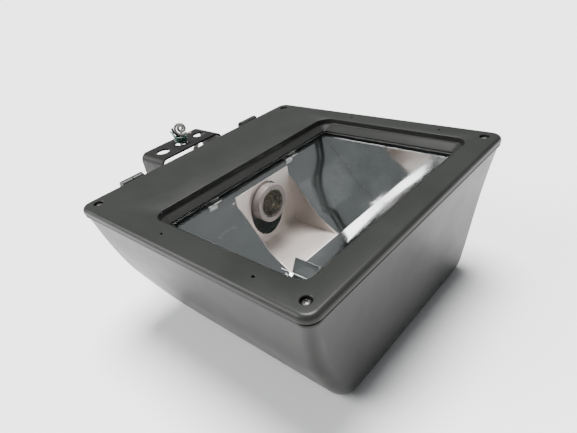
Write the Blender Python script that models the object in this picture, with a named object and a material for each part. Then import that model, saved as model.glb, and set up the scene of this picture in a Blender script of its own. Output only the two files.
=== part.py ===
"""Large area floodlight with a hinged glass door, a trough reflector, its control gear and a yoke mount.

Units are metres and +Z is up. The light lies on its flat back and shines up: the origin is on the back
face, straight behind the centre of the door. The yoke is on the -X side.
"""

import math

import bmesh
import bpy
from mathutils import Matrix, Vector

# Heights are given as depths below the door's flat face, which stands this high above the back face.
FACE_Z = 0.190

# Door frame, a casting with a rounded outer bead, a thin groove and a flange under it.
DOOR_HALF_X = 0.200
DOOR_HALF_Y = 0.207
DOOR_RADIUS = 0.016
DOOR_DEPTH = 0.013
BEAD = 0.006
GROOVE_DEPTHS = (0.0090, 0.0105)
GROOVE_INSET = 0.0025
FLANGE_INSET = 0.0010
RECESS = (-0.078, 0.167, 0.1715)
RECESS_RADIUS = 0.020
RECESS_WALL = 0.008
OPENING = (-0.0680, 0.1515, 0.1575)
OPENING_RADIUS = 0.004
OPENING_DEPTH = 0.015
LEDGE_BOTTOM = 0.017
LEDGE_WALL = 0.0035
SCREW_X = 0.180
SCREW_Y = 0.187
COUNTERBORE_RADIUS = 0.0062
COUNTERBORE_DEPTH = 0.005
SCREW_HOLE_RADIUS = 0.0029
ACCESSORY_X = (-0.033, 0.116)
ACCESSORY_Y = 0.188

# Hinges on the -X edge: a door knuckle and a housing ear share each pin.
HINGE_X = -0.205
HINGE_DEPTH = 0.006
KNUCKLE_RADIUS = 0.0075
KNUCKLE_Y = (0.1010, 0.1185)
EAR_Y = (0.1190, 0.1365)
PIN_RADIUS = 0.0020
PIN_HOLE_RADIUS = 0.00215

# Housing: depth, far (+X) side, near (-X) side, half width along Y, corner radius.
HOUSING_SECTIONS = (
    (0.0150, 0.1965, 0.1965, 0.2035, 0.0140),
    (0.0600, 0.1875, 0.1885, 0.1950, 0.0165),
    (0.1000, 0.1820, 0.1755, 0.1845, 0.0185),
    (0.1350, 0.1795, 0.1555, 0.1700, 0.0200),
    (0.1600, 0.1775, 0.1365, 0.1585, 0.0205),
    (0.1770, 0.1755, 0.1230, 0.1495, 0.0205),
    (0.1865, 0.1700, 0.1145, 0.1430, 0.0200),
    (0.1900, 0.1600, 0.1045, 0.1330, 0.0180),
)
WALL = 0.004
RIM_TOP = 0.015
RIM_BOTTOM = 0.021
RIM_WIDTH = 0.0185
RIM_RADIUS = 0.012

# Yoke and the neck that carries it.
PIVOT_X = -0.2407
PIVOT_DEPTH = 0.085
YOKE_THICKNESS = 0.003
YOKE_HALF_Y = 0.062
YOKE_WIDTH = 0.057
YOKE_BEND = 0.012
YOKE_END_RADIUS = 0.022
HUB_RADIUS = 0.024
HUB_HALF_Y = 0.054
PIVOT_BOLT_RADIUS = 0.006
BOLT_HEAD = ((0.0105, 0.0), (0.0105, 0.0062), (0.0095, 0.0070))
LEAD_HOLE_RADIUS = 0.011
SIDE_HOLE_Y = 0.037
SIDE_HOLE_RADIUS = 0.0105

# Glass, lampholder and reflector.
GLASS = (-0.0725, 0.159, 0.163)
GLASS_TOP = 0.0188
GLASS_THICKNESS = 0.004
CLIP_Y = 0.080
CLIP_SHEET = 0.0015
SOCKET_DEPTH = 0.064
SOCKET_FRONT_X = -0.047
SOCKET_BACK_X = -0.1056
SOCKET_RADIUS = 0.0285
SOCKET_BORE_RADIUS = 0.0210
SHEET = 0.0012
REFLECTOR_TOP = 0.0266
REFLECTOR_HALF_Y = 0.1625
END_SCREW_Y = 0.178
# The trough's fold lines, across X and depth, from its +X flange to its -X flange.
TROUGH_FOLDS = (
    (0.1760, REFLECTOR_TOP),
    (0.1560, REFLECTOR_TOP),
    (0.1380, 0.0620),
    (0.1120, 0.1040),
    (0.0740, 0.1270),
    (0.0240, 0.1270),
    (-0.0120, 0.1040),
    (-0.0440, 0.0620),
    (-0.0565, 0.0480),
    (-0.0800, REFLECTOR_TOP),
    (-0.0850, REFLECTOR_TOP),
)
PLATE_HALF_Y = 0.0530
PLATE_X = -0.0610
PLATE_BOTTOM = 0.1260
OVAL_DEPTH = 0.074
OVAL_REACH = (0.043, 0.033)

# Control gear on its tray, under the blank side of the door.
TRAY_TOP = 0.132
TRAY_THICKNESS = 0.002
TRAY_X = (-0.146, -0.088)
TRAY_HALF_Y = 0.150
INNER_POST = (-0.094, 0.142)
OUTER_POST = (-0.128, 0.134)

GAP = 0.0003

# Cord and leads. The white lead's loops and the green lead's wrap are turns about the middle hole.
CORD_RADIUS = 0.0035
CORD_Y = 0.040
LEAD_RADIUS = 0.0017
INNER_LEAD_RADIUS = 0.0011
WHITE_RADIUS = 0.0021
LOOP_RADII = (0.0026, 0.0106)
LOOP_ACROSS = 0.0045
LOOP_UP = 0.0236
LOOP_TURNS = 1.861
LOOP_STEPS = 22
WRAP_CENTRE = 0.0008
WRAP_RADII = (0.0028, 0.0090)
WRAP_START = -0.0012
WRAP_RISES = (0.0048, 0.0082)
WRAP_FIRST = math.radians(-112)
WRAP_TURNS = 2.75
WRAP_OUT = 0.42
WRAP_ENTRY = 0.55
WRAP_TILT = 0.15
WRAP_STEPS = 36


def height(depth):
    return FACE_Z - depth


# --- materials ---------------------------------------------------------------------------------------


def material(name, colour, roughness, metallic=0.0, alpha=1.0):
    found = bpy.data.materials.get(name)
    if found:
        return found
    made = bpy.data.materials.new(name)
    made.use_nodes = True
    shader = made.node_tree.nodes["Principled BSDF"]
    shader.inputs["Base Color"].default_value = (*colour, 1.0)
    shader.inputs["Roughness"].default_value = roughness
    shader.inputs["Metallic"].default_value = metallic
    shader.inputs["Alpha"].default_value = alpha
    made.diffuse_color = (*colour, 1.0)
    return made


def powder_coat():
    return material("bronze_powder_coat", (0.035, 0.036, 0.035), 0.42)


def yoke_paint():
    return material("black_paint", (0.020, 0.020, 0.020), 0.35)


def polished_sheet():
    return material("polished_aluminium", (0.82, 0.83, 0.83), 0.12, 1.0)


def zinc_steel():
    return material("zinc_plated_steel", (0.58, 0.58, 0.56), 0.35, 1.0)


def stainless():
    return material("stainless_steel", (0.62, 0.61, 0.59), 0.28, 1.0)


def silicone():
    return material("grey_silicone", (0.20, 0.20, 0.20), 0.75)


def porcelain():
    return material("porcelain", (0.80, 0.76, 0.70), 0.25)


def nickel():
    return material("nickel_shell", (0.70, 0.66, 0.58), 0.22, 1.0)


def glass():
    return material("clear_glass", (0.90, 0.95, 0.93), 0.03, alpha=0.35)


def varnished_steel():
    return material("varnished_laminations", (0.10, 0.09, 0.08), 0.5, 0.6)


def coil_wrap():
    return material("coil_wrap", (0.45, 0.20, 0.07), 0.6)


def bare_aluminium():
    return material("bare_aluminium", (0.72, 0.72, 0.73), 0.3, 1.0)


def plastic(name, colour):
    return material(name, colour, 0.45)


# --- shapes ------------------------------------------------------------------------------------------


def solid(name, corners, faces, finish):
    """A closed mesh object whose faces all point out."""
    mesh = bpy.data.meshes.new(name)
    shape = bmesh.new()
    points = [shape.verts.new(corner) for corner in corners]
    for face in faces:
        shape.faces.new([points[index] for index in face])
    bmesh.ops.recalc_face_normals(shape, faces=shape.faces)
    shape.to_mesh(mesh)
    shape.free()
    made = bpy.data.objects.new(name, mesh)
    bpy.context.scene.collection.objects.link(made)
    if finish:
        mesh.materials.append(finish)
    return made


def loft(name, rings, finish=None):
    """A solid through rings that have the same number of corners, with flat ends."""
    size = len(rings[0])
    corners = [corner for ring in rings for corner in ring]
    faces = [tuple(range(size)), tuple(range(len(corners) - size, len(corners)))]
    for level in range(len(rings) - 1):
        first = level * size
        for index in range(size):
            after = (index + 1) % size
            faces.append((first + index, first + after, first + size + after, first + size + index))
    return solid(name, corners, faces, finish)


def rounded_rectangle(low_x, high_x, half_y, radius, steps=4):
    outline = []
    centres = (
        (high_x - radius, half_y - radius),
        (low_x + radius, half_y - radius),
        (low_x + radius, radius - half_y),
        (high_x - radius, radius - half_y),
    )
    for quarter, (x, y) in enumerate(centres):
        for step in range(steps + 1):
            angle = (quarter + step / steps) * math.pi / 2
            outline.append((x + radius * math.cos(angle), y + radius * math.sin(angle)))
    return outline


def level_ring(outline, depth):
    return [(x, y, height(depth)) for x, y in outline]


def plate(name, outline, top, bottom, finish=None):
    """An outline in X and Y, from one depth to another."""
    return loft(name, [level_ring(outline, top), level_ring(outline, bottom)], finish)


def profile_along_y(name, outline, low_y, high_y, finish=None):
    """An outline in X and depth, from one Y to another."""
    rings = [[(x, y, height(depth)) for x, depth in outline] for y in (low_y, high_y)]
    return loft(name, rings, finish)


def block(name, x, y, depths, finish=None):
    outline = ((x[0], y[0]), (x[1], y[0]), (x[1], y[1]), (x[0], y[1]))
    return plate(name, outline, depths[0], depths[1], finish)


def rotation_to(direction):
    return Vector((0, 0, 1)).rotation_difference(Vector(direction)).to_matrix()


def turned(name, start, direction, profile, finish=None, sides=20, squeeze=(1.0, 1.0)):
    """A solid of revolution: the profile gives radius and distance along the direction from start."""
    turn = rotation_to(direction)
    rings = []
    for radius, distance in profile:
        ring = []
        for index in range(sides):
            angle = 2 * math.pi * index / sides
            local = (squeeze[0] * radius * math.cos(angle), squeeze[1] * radius * math.sin(angle), distance)
            ring.append(Vector(start) + turn @ Vector(local))
        rings.append(ring)
    return loft(name, rings, finish)


def rod(name, start, direction, radius, length, finish=None, sides=20):
    return turned(name, start, direction, ((radius, 0.0), (radius, length)), finish, sides)


def ribbon(folds, thickness):
    """The outline of a bent sheet: the fold lines moved half the thickness to each side."""
    sides = ([], [])
    for index, fold in enumerate(folds):
        before = Vector(folds[max(index - 1, 0)])
        after = Vector(folds[min(index + 1, len(folds) - 1)])
        here = Vector(fold)
        steps = [step.normalized() for step in (here - before, after - here) if step.length > 0]
        normals = [Vector((-step.y, step.x)) for step in steps]
        middle = sum(normals, Vector((0, 0))).normalized()
        reach = thickness / 2 / max(middle.dot(normals[0]), 0.5)
        sides[0].append(tuple(here + middle * reach))
        sides[1].append(tuple(here - middle * reach))
    return sides[0] + sides[1][::-1]


def boolean(target, tool, operation):
    modifier = target.modifiers.new(f"{operation.lower()}_{tool.name}", "BOOLEAN")
    modifier.operation = operation
    modifier.object = tool
    tool.hide_render = True
    tool.display_type = "WIRE"


def cut(target, *tools):
    for tool in tools:
        boolean(target, tool, "DIFFERENCE")


def join(target, *tools):
    for tool in tools:
        boolean(target, tool, "UNION")


def smooth(target, angle=math.radians(35)):
    target.data.shade_smooth()
    target.data.set_sharp_from_angle(angle=angle)
    return target


def hang_on(parent, *children):
    for child in children:
        child.parent = parent
        child.matrix_parent_inverse = parent.matrix_world.inverted()


def axis_marker(name, place):
    marker = bpy.data.objects.new(name, None)
    bpy.context.scene.collection.objects.link(marker)
    marker.location = place
    bpy.context.view_layer.update()
    return marker


def put_origin(target, place):
    """Moves the object's origin onto the axis that it moves about, and leaves its shape where it is."""
    target.data.transform(Matrix.Translation(-Vector(place)))
    target.location = place
    bpy.context.view_layer.update()


def tube(name, route, radius, finish, sides_level=2):
    """A cord with capped ends along a smooth curve through the route's points."""
    curve = bpy.data.curves.new(name, "CURVE")
    curve.dimensions = "3D"
    curve.bevel_depth = radius
    curve.bevel_resolution = sides_level
    curve.use_fill_caps = True
    points = smooth_route(route, 3.5 * radius)
    spline = curve.splines.new("POLY")
    spline.points.add(len(points) - 1)
    for point, place in zip(spline.points, points):
        point.co = (*place, 1.0)
    curve.materials.append(finish)
    made = bpy.data.objects.new(name, curve)
    bpy.context.scene.collection.objects.link(made)
    return made


def smooth_route(route, spacing):
    """Points read from a smooth curve through the route, about this far apart."""
    knots = [Vector(place) for place in route]
    knots = [2 * knots[0] - knots[1]] + knots + [2 * knots[-1] - knots[-2]]
    fine = []
    for before, start, end, after in zip(knots, knots[1:], knots[2:], knots[3:]):
        for step in range(16):
            t = step / 16
            fine.append(
                0.5
                * (
                    2 * start
                    + (end - before) * t
                    + (2 * before - 5 * start + 4 * end - after) * t**2
                    + (3 * start - before - 3 * end + after) * t**3
                )
            )
    fine.append(knots[-2])
    length = sum((after - here).length for here, after in zip(fine, fine[1:]))
    count = max(2, round(length / spacing))
    points = [fine[0]]
    walked = 0.0
    for here, after in zip(fine, fine[1:]):
        step = (after - here).length
        while len(points) < count and walked + step >= length * len(points) / count:
            share = (length * len(points) / count - walked) / step
            points.append(here.lerp(after, share))
        walked += step
    points.append(fine[-1])
    return points


# --- housing -----------------------------------------------------------------------------------------


def housing_outline(section, inset=0.0):
    _, far, near, half_y, radius = section
    return rounded_rectangle(inset - near, far - inset, half_y - inset, radius - inset, 5)


def cavity():
    """The room inside the housing, with the inward rim flange left standing at its mouth."""
    rim = rounded_rectangle(
        RIM_WIDTH - HOUSING_SECTIONS[0][2],
        HOUSING_SECTIONS[0][1] - RIM_WIDTH,
        HOUSING_SECTIONS[0][3] - RIM_WIDTH,
        RIM_RADIUS,
        5,
    )
    rings = [level_ring(rim, RIM_TOP - 0.005), level_ring(rim, RIM_BOTTOM)]
    rings.append(level_ring(housing_outline(HOUSING_SECTIONS[0], WALL), RIM_BOTTOM))
    for section in HOUSING_SECTIONS[1:]:
        depth = section[0] - WALL * section[0] / FACE_Z
        rings.append(level_ring(housing_outline(section, WALL), depth))
    return loft("cavity_cutter", rings)


def neck():
    """The cast neck on the -X wall: a hub across Y and the web that joins it."""
    hub = rod(
        "neck_hub",
        (PIVOT_X, -HUB_HALF_Y, height(PIVOT_DEPTH)),
        (0, 1, 0),
        HUB_RADIUS,
        2 * HUB_HALF_Y,
        sides=28,
    )
    web_outline = (
        (PIVOT_X, PIVOT_DEPTH - 0.019),
        (-0.200, PIVOT_DEPTH - 0.026),
        (-0.150, PIVOT_DEPTH - 0.030),
        (-0.150, PIVOT_DEPTH + 0.030),
        (-0.200, PIVOT_DEPTH + 0.024),
        (PIVOT_X, PIVOT_DEPTH + 0.019),
    )
    web = profile_along_y("neck_web", web_outline, -0.040, 0.040)
    return hub, web


def hinge_ear(name, side):
    low, high = sorted((side * EAR_Y[0], side * EAR_Y[1]))
    knuckle = rod(
        f"{name}_knuckle",
        (HINGE_X, low, height(HINGE_DEPTH)),
        (0, 1, 0),
        KNUCKLE_RADIUS,
        high - low,
        sides=16,
    )
    web_outline = (
        (HINGE_X - 0.0045, HINGE_DEPTH + 0.001),
        (HINGE_X + 0.0045, HINGE_DEPTH + 0.001),
        (-0.1950, RIM_TOP + 0.001),
        (-0.1900, RIM_TOP + 0.003),
        (-0.1900, 0.034),
        (-0.1930, 0.034),
    )
    web = profile_along_y(f"{name}_web", web_outline, low + 0.0002, high - 0.0002)
    return knuckle, web


def housing_posts():
    """Posts for the gear tray and bosses for the reflector's screws."""
    posts = []
    for side in (-1, 1):
        for label, (x, y), radius, foot in (
            ("inner", INNER_POST, 0.005, 0.1800),
            ("outer", OUTER_POST, 0.004, 0.1650),
        ):
            top = TRAY_TOP + TRAY_THICKNESS + GAP
            place = (x, side * y, height(foot))
            posts.append(rod(f"{label}_post_{side}", place, (0, 0, 1), radius, foot - top, sides=14))
        posts.append(
            block(
                f"far_boss_{side}",
                (0.1640, 0.1895),
                (side * 0.090 - 0.008, side * 0.090 + 0.008),
                (REFLECTOR_TOP + SHEET / 2 + GAP, 0.040),
            )
        )
        wall_y = sorted((side * 0.1700, side * 0.1965))
        posts.append(
            block(
                f"side_boss_{side}",
                (-0.028, -0.012),
                wall_y,
                (REFLECTOR_TOP + SHEET / 2 + GAP, 0.040),
            )
        )
    return posts


def corner_places():
    return [(x * SCREW_X, y * SCREW_Y) for x in (-1, 1) for y in (-1, 1)]


def tray_screw_places():
    return [(x, side * y) for side in (-1, 1) for x, y in (INNER_POST, OUTER_POST)]


def reflector_screw_places():
    return [(0.171, -0.090), (0.171, 0.090), (-0.020, -END_SCREW_Y), (-0.020, END_SCREW_Y)]


def build_housing():
    rings = [level_ring(housing_outline(section), section[0]) for section in HOUSING_SECTIONS]
    housing = loft("housing", rings, powder_coat())
    join(housing, *neck())
    for side in (-1, 1):
        join(housing, *hinge_ear(f"ear_{side}", side))
    cut(housing, cavity())
    join(housing, *housing_posts())
    down = (0, 0, -1)
    for x, y in corner_places():
        mouth = 0.0046 if x < 0 else 0.0027
        profile = ((mouth, -0.002), (mouth, 0.0005), (0.0027, 0.008))
        top = (x, y, height(RIM_TOP))
        cut(housing, turned("screw_hole_cutter", top, down, profile, sides=14))
    for x, y in tray_screw_places():
        top = height(TRAY_TOP + TRAY_THICKNESS)
        cut(housing, rod("tray_hole_cutter", (x, y, top), down, 0.0018, 0.013, sides=10))
    for x, y in reflector_screw_places():
        cut(housing, rod("boss_hole_cutter", (x, y, height(0.026)), down, 0.0019, 0.010, sides=10))
    for side in (-1, 1):
        pin_start = (HINGE_X, side * 0.098, height(HINGE_DEPTH))
        cut(housing, rod("pin_hole_cutter", pin_start, (0, side, 0), PIN_HOLE_RADIUS, 0.042, sides=14))
        bolt_start = (PIVOT_X, side * 0.032, height(PIVOT_DEPTH))
        cut(housing, rod("pivot_hole_cutter", bolt_start, (0, side, 0), 0.0063, 0.030, sides=20))
    cut(housing, rod("cord_way_cutter", cord_way_point(0.0095), cord_way(), 0.0048, 0.0245, sides=14))
    smooth(housing, math.radians(28))


def cord_way():
    """The direction in which the cord leaves the hub, half-way between the yoke's two end positions."""
    return Vector((-1, 0, 1)).normalized()


def cord_way_point(distance):
    return Vector((PIVOT_X, CORD_Y, height(PIVOT_DEPTH))) + cord_way() * distance


# --- door --------------------------------------------------------------------------------------------


def door_outline(inset):
    radius = DOOR_RADIUS - inset
    return rounded_rectangle(inset - DOOR_HALF_X, DOOR_HALF_X - inset, DOOR_HALF_Y - inset, radius, 5)


def door_blank():
    """The frame's outer shape: flat face, round bead, groove and flange."""
    levels = []
    for step in range(4):
        angle = step * math.pi / 6
        levels.append((BEAD * (1 - math.cos(angle)), BEAD * (1 - math.sin(angle))))
    levels.append((GROOVE_DEPTHS[0], 0.0))
    levels.append((GROOVE_DEPTHS[0], GROOVE_INSET))
    levels.append((GROOVE_DEPTHS[1], GROOVE_INSET))
    levels.append((GROOVE_DEPTHS[1], FLANGE_INSET))
    levels.append((DOOR_DEPTH, FLANGE_INSET))
    rings = [level_ring(door_outline(inset), depth) for depth, inset in levels]
    return loft("door_frame", rings, powder_coat())


def window_cutter():
    recess = rounded_rectangle(*RECESS, RECESS_RADIUS)
    opening = rounded_rectangle(*OPENING, OPENING_RADIUS)
    rings = [
        level_ring(recess, -0.005),
        level_ring(recess, RECESS_WALL),
        level_ring(opening, OPENING_DEPTH),
        level_ring(opening, 0.030),
    ]
    return loft("window_cutter", rings)


def hinge_knuckle(name, side):
    low, high = sorted((side * KNUCKLE_Y[0], side * KNUCKLE_Y[1]))
    knuckle = rod(
        f"{name}_barrel",
        (HINGE_X, low, height(HINGE_DEPTH)),
        (0, 1, 0),
        KNUCKLE_RADIUS,
        high - low,
        sides=16,
    )
    web = block(
        f"{name}_web",
        (HINGE_X - 0.0020, -0.1930),
        (low + 0.0002, high - 0.0002),
        (0.0038, 0.0120),
    )
    return knuckle, web


def build_door_frame():
    frame = door_blank()
    wall = LEDGE_WALL
    ledge = rounded_rectangle(RECESS[0] - wall, RECESS[1] + wall, RECESS[2] + wall, RECESS_RADIUS + wall)
    join(frame, plate("ledge", ledge, RECESS_WALL - 0.003, LEDGE_BOTTOM))
    for side in (-1, 1):
        join(frame, *hinge_knuckle(f"door_knuckle_{side}", side))
    cut(frame, window_cutter())
    cut(frame, block("gear_pocket_cutter", (-0.172, -0.085), (-0.165, 0.165), (0.0045, 0.020)))
    for side in (-1, 1):
        ear_y = sorted((side * (EAR_Y[0] - 0.0004), side * (EAR_Y[1] + 0.0024)))
        cut(frame, block("ear_notch_cutter", (-0.2145, -0.1955), ear_y, (-0.004, 0.016)))
        pin_start = (HINGE_X, side * 0.098, height(HINGE_DEPTH))
        cut(frame, rod("door_pin_cutter", pin_start, (0, side, 0), PIN_HOLE_RADIUS, 0.042, sides=14))
        for x in ACCESSORY_X:
            place = (x, side * ACCESSORY_Y, height(0.010))
            cut(frame, rod("accessory_hole_cutter", place, (0, 0, 1), 0.0018, 0.012, sides=10))
    for x, y in corner_places():
        place = (x, y, height(0.016))
        profile = (
            (SCREW_HOLE_RADIUS, 0.0),
            (SCREW_HOLE_RADIUS, 0.016 - COUNTERBORE_DEPTH),
            (COUNTERBORE_RADIUS, 0.016 - COUNTERBORE_DEPTH),
            (COUNTERBORE_RADIUS, 0.018),
        )
        cut(frame, turned("counterbore_cutter", place, (0, 0, 1), profile, sides=20))
    for x, y in clip_screw_places():
        place = (x, y, height(0.0190))
        cut(frame, rod("clip_hole_cutter", place, (0, 0, 1), 0.0018, 0.0070, sides=10))
    smooth(frame, math.radians(28))
    put_origin(frame, (HINGE_X, 0, height(HINGE_DEPTH)))
    return frame


def build_door_screw(name, x, y):
    """A pan-head screw that stays in the door: its shank reaches a few threads into the rim."""
    profile = (
        (0.0001, -0.0034),
        (0.0030, -0.0034),
        (0.0046, -0.0024),
        (0.0048, -0.0006),
        (0.0048, 0.0),
        (0.0024, 0.0),
        (0.0024, 0.0142),
        (0.0018, 0.0145),
    )
    seat = height(COUNTERBORE_DEPTH - GAP)
    screw = turned(name, (x, y, seat), (0, 0, -1), profile, stainless(), sides=16)
    slot = block(
        f"{name}_slot",
        (x - 0.0052, x + 0.0052),
        (y - 0.0006, y + 0.0006),
        (COUNTERBORE_DEPTH - 0.0050, COUNTERBORE_DEPTH - 0.0022),
    )
    cut(screw, slot)
    put_origin(screw, (x, y, seat))
    return smooth(screw)


def clip_screw_places():
    return [(edge, side * CLIP_Y) for edge in (GLASS[0] - 0.0065, GLASS[1] + 0.0065) for side in (-1, 1)]


def build_glass_clip(name, x, y):
    """A Z-bent clip: its upper leg is screwed under the ledge, its lower leg holds the glass."""
    way = 1 if x > 0 else -1
    edge = GLASS[1] if x > 0 else GLASS[0]
    upper = LEDGE_BOTTOM + GAP + CLIP_SHEET / 2
    lower = GLASS_TOP + GLASS_THICKNESS + GAP + CLIP_SHEET / 2
    folds = (
        (edge + way * 0.0105, upper),
        (edge + way * 0.0012, upper),
        (edge + way * 0.0012, lower),
        (edge - way * 0.0060, lower),
    )
    clip = profile_along_y(name, ribbon(folds, CLIP_SHEET), y - 0.007, y + 0.007, zinc_steel())
    cut(clip, rod(f"{name}_hole", (x, y, height(0.022)), (0, 0, 1), 0.0019, 0.010, sides=10))
    return clip


def build_small_screw(name, place, direction, head_radius, shank_radius, length, finish=None):
    """A round-headed screw: its head sits above place and its shank runs along direction."""
    profile = (
        (0.3 * head_radius, -0.0022),
        (0.8 * head_radius, -0.0019),
        (head_radius, -0.0008),
        (head_radius, 0.0),
        (shank_radius, 0.0),
        (shank_radius, length),
    )
    return smooth(turned(name, place, direction, profile, finish or zinc_steel(), sides=12))


def frame_ring(name, outline_inner, outline_outer, top, bottom, finish):
    ring = plate(name, outline_outer, top, bottom, finish)
    cut(ring, plate(f"{name}_window", outline_inner, top - 0.002, bottom + 0.002))
    return ring


def build_door(marker):
    frame = build_door_frame()
    pane = plate(
        "door_glass",
        rounded_rectangle(*GLASS, 0.004, 2),
        GLASS_TOP,
        GLASS_TOP + GLASS_THICKNESS,
        glass(),
    )
    seal = frame_ring(
        "glass_gasket",
        rounded_rectangle(-0.0692, 0.1530, 0.1590, 0.003, 2),
        rounded_rectangle(-0.0725, 0.1590, 0.1630, 0.004, 2),
        LEDGE_BOTTOM + GAP,
        GLASS_TOP - GAP,
        silicone(),
    )
    badge = plate(
        "blank_badge",
        rounded_rectangle(-0.0965, -0.0815, 0.029, 0.003, 2),
        -0.0011,
        -GAP,
        plastic("badge_grey", (0.45, 0.45, 0.45)),
    )
    badge.data.transform(Matrix.Translation((0, -0.007, 0)))
    pieces = [frame, pane, seal, badge]
    for number, (x, y) in enumerate(clip_screw_places(), 1):
        pieces.append(build_glass_clip(f"glass_clip_{number}", x, y))
        seat = height(LEDGE_BOTTOM + 2 * GAP + CLIP_SHEET)
        pieces.append(
            build_small_screw(f"clip_screw_{number}", (x, y, seat), (0, 0, 1), 0.0030, 0.0015, 0.006)
        )
    for number, (x, y) in enumerate(corner_places(), 1):
        pieces.append(build_door_screw(f"door_screw_{number}", x, y))
    hang_on(marker, *pieces)


def build_hinge_pin(name, side):
    profile = ((0.0030, -0.0014), (0.0034, -0.0003), (PIN_RADIUS, -0.0003), (PIN_RADIUS, 0.0360))
    start = (HINGE_X, side * (EAR_Y[1] + 0.0004), height(HINGE_DEPTH))
    return smooth(turned(name, start, (0, -side, 0), profile, stainless(), sides=14))


def build_door_gasket():
    far, near, half_y, _ = HOUSING_SECTIONS[0][1:]
    return frame_ring(
        "door_gasket",
        rounded_rectangle(0.0170 - near, far - 0.0170, half_y - 0.0170, 0.0145, 4),
        rounded_rectangle(0.0133 - near, far - 0.0133, half_y - 0.0133, 0.0182, 4),
        DOOR_DEPTH + GAP,
        RIM_TOP - GAP,
        silicone(),
    )


# --- reflector and lampholder ------------------------------------------------------------------------


def build_trough():
    trough = profile_along_y(
        "reflector_trough",
        ribbon(TROUGH_FOLDS, SHEET),
        -REFLECTOR_HALF_Y,
        REFLECTOR_HALF_Y,
        polished_sheet(),
    )
    edge = PLATE_HALF_Y + SHEET + GAP
    cut(trough, block("plate_way_cutter", (-0.0650, 0.0236), (-edge, edge), (0.0290, 0.1400)))
    socket_way = (-0.0620, 0, height(SOCKET_DEPTH))
    cut(trough, rod("socket_way_cutter", socket_way, (-1, 0, 0), SOCKET_RADIUS + 0.0010, 0.020, sides=32))
    for side in (-1, 1):
        place = (0.171, side * 0.090, height(0.035))
        cut(trough, rod("trough_hole_cutter", place, (0, 0, 1), 0.0024, 0.020, sides=10))


def build_end_panel(name, side):
    """A flat end of the trough with a flange turned out at its top."""
    outline = [(x, depth + SHEET / 2) for x, depth in TROUGH_FOLDS[1:-1]]
    face = REFLECTOR_HALF_Y + GAP
    low, high = sorted((side * face, side * (face + SHEET)))
    panel = profile_along_y(name, outline, low, high, polished_sheet())
    flange_y = sorted((side * (face + GAP), side * 0.1860))
    flange = block(
        f"{name}_flange",
        (-0.0760, 0.1540),
        flange_y,
        (REFLECTOR_TOP - SHEET / 2, REFLECTOR_TOP + SHEET / 2),
    )
    join(panel, flange)
    hole = rod(f"{name}_hole", (-0.020, side * END_SCREW_Y, height(0.035)), (0, 0, 1), 0.0024, 0.020, sides=10)
    cut(panel, hole)


def build_socket_plate():
    """The pocket round the lampholder: a back plate with an oval way, two cheeks and a floor."""
    back = PLATE_X - SHEET
    floor = PLATE_BOTTOM + SHEET
    outline = ((back, 0.0296), (back, floor), (0.0230, floor)) + TROUGH_FOLDS[6:9]
    outline += ((-0.0608, 0.0440), (-0.0608, 0.0296))
    edge = PLATE_HALF_Y + SHEET
    pocket = profile_along_y("socket_plate", outline, -edge, edge, polished_sheet())
    room_y = (-PLATE_HALF_Y, PLATE_HALF_Y)
    cut(pocket, block("pocket_cutter", (PLATE_X, 0.0500), room_y, (0.0200, PLATE_BOTTOM)))
    way = turned(
        "oval_cutter",
        (PLATE_X - 0.010, 0, height(OVAL_DEPTH)),
        (1, 0, 0),
        ((1.0, 0.0), (1.0, 0.020)),
        sides=32,
        squeeze=OVAL_REACH,
    )
    cut(pocket, way)


def build_kicker():
    """A small V-bent sheet on the trough's floor that throws light to one side."""
    folds = ((-0.074, 0.1030), (-0.060, 0.1262), (-0.046, 0.1030))
    outline = ribbon(folds, SHEET)
    rings = [[(x, y, height(depth)) for y, depth in outline] for x in (0.028, 0.070)]
    kicker = loft("reflector_kicker", rings, polished_sheet())
    kicker.data.transform(Matrix.Translation((0, 0, SHEET)))


def build_lampholder():
    socket_z = height(SOCKET_DEPTH)
    length = SOCKET_FRONT_X - SOCKET_BACK_X
    profile = (
        (SOCKET_BORE_RADIUS, 0.0),
        (SOCKET_RADIUS - 0.0015, 0.0),
        (SOCKET_RADIUS, 0.0020),
        (SOCKET_RADIUS, 0.0250),
        (SOCKET_RADIUS - 0.0030, 0.0290),
        (SOCKET_RADIUS - 0.0035, length),
        (0.0100, length),
        (0.0100, length - 0.0010),
        (0.0043, length - 0.0010),
        (0.0043, 0.0512),
        (SOCKET_BORE_RADIUS, 0.0512),
    )
    front = (SOCKET_FRONT_X, 0, socket_z)
    body = turned_ring("lampholder_body", front, (-1, 0, 0), profile, porcelain(), 32)
    shell_profile = ((0.0206, 0.0020), (0.0206, 0.0450), (0.0192, 0.0450), (0.0192, 0.0020))
    shell = turned_ring("lampholder_shell", front, (-1, 0, 0), shell_profile, nickel(), 32)
    contact_profile = (
        (0.0020, 0.0466),
        (0.0055, 0.0474),
        (0.0055, 0.0486),
        (0.0039, 0.0486),
        (0.0039, 0.0545),
    )
    contact = turned("centre_contact", front, (-1, 0, 0), contact_profile, nickel(), sides=16)
    put_origin(contact, (SOCKET_FRONT_X - 0.0466, 0, socket_z))
    for piece in (body, shell, contact):
        smooth(piece)
    return body


def turned_ring(name, start, direction, profile, finish, sides):
    """A turned solid with a hole right through: its profile is a closed loop off the axis."""
    turn = rotation_to(direction)
    corners = []
    for index in range(sides):
        angle = 2 * math.pi * index / sides
        for radius, distance in profile:
            local = Vector((radius * math.cos(angle), radius * math.sin(angle), distance))
            corners.append(Vector(start) + turn @ local)
    size = len(profile)
    faces = []
    for index in range(sides):
        here = index * size
        there = (index + 1) % sides * size
        for step in range(size):
            after = (step + 1) % size
            faces.append((here + step, there + step, there + after, here + after))
    return solid(name, corners, faces, finish)


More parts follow.
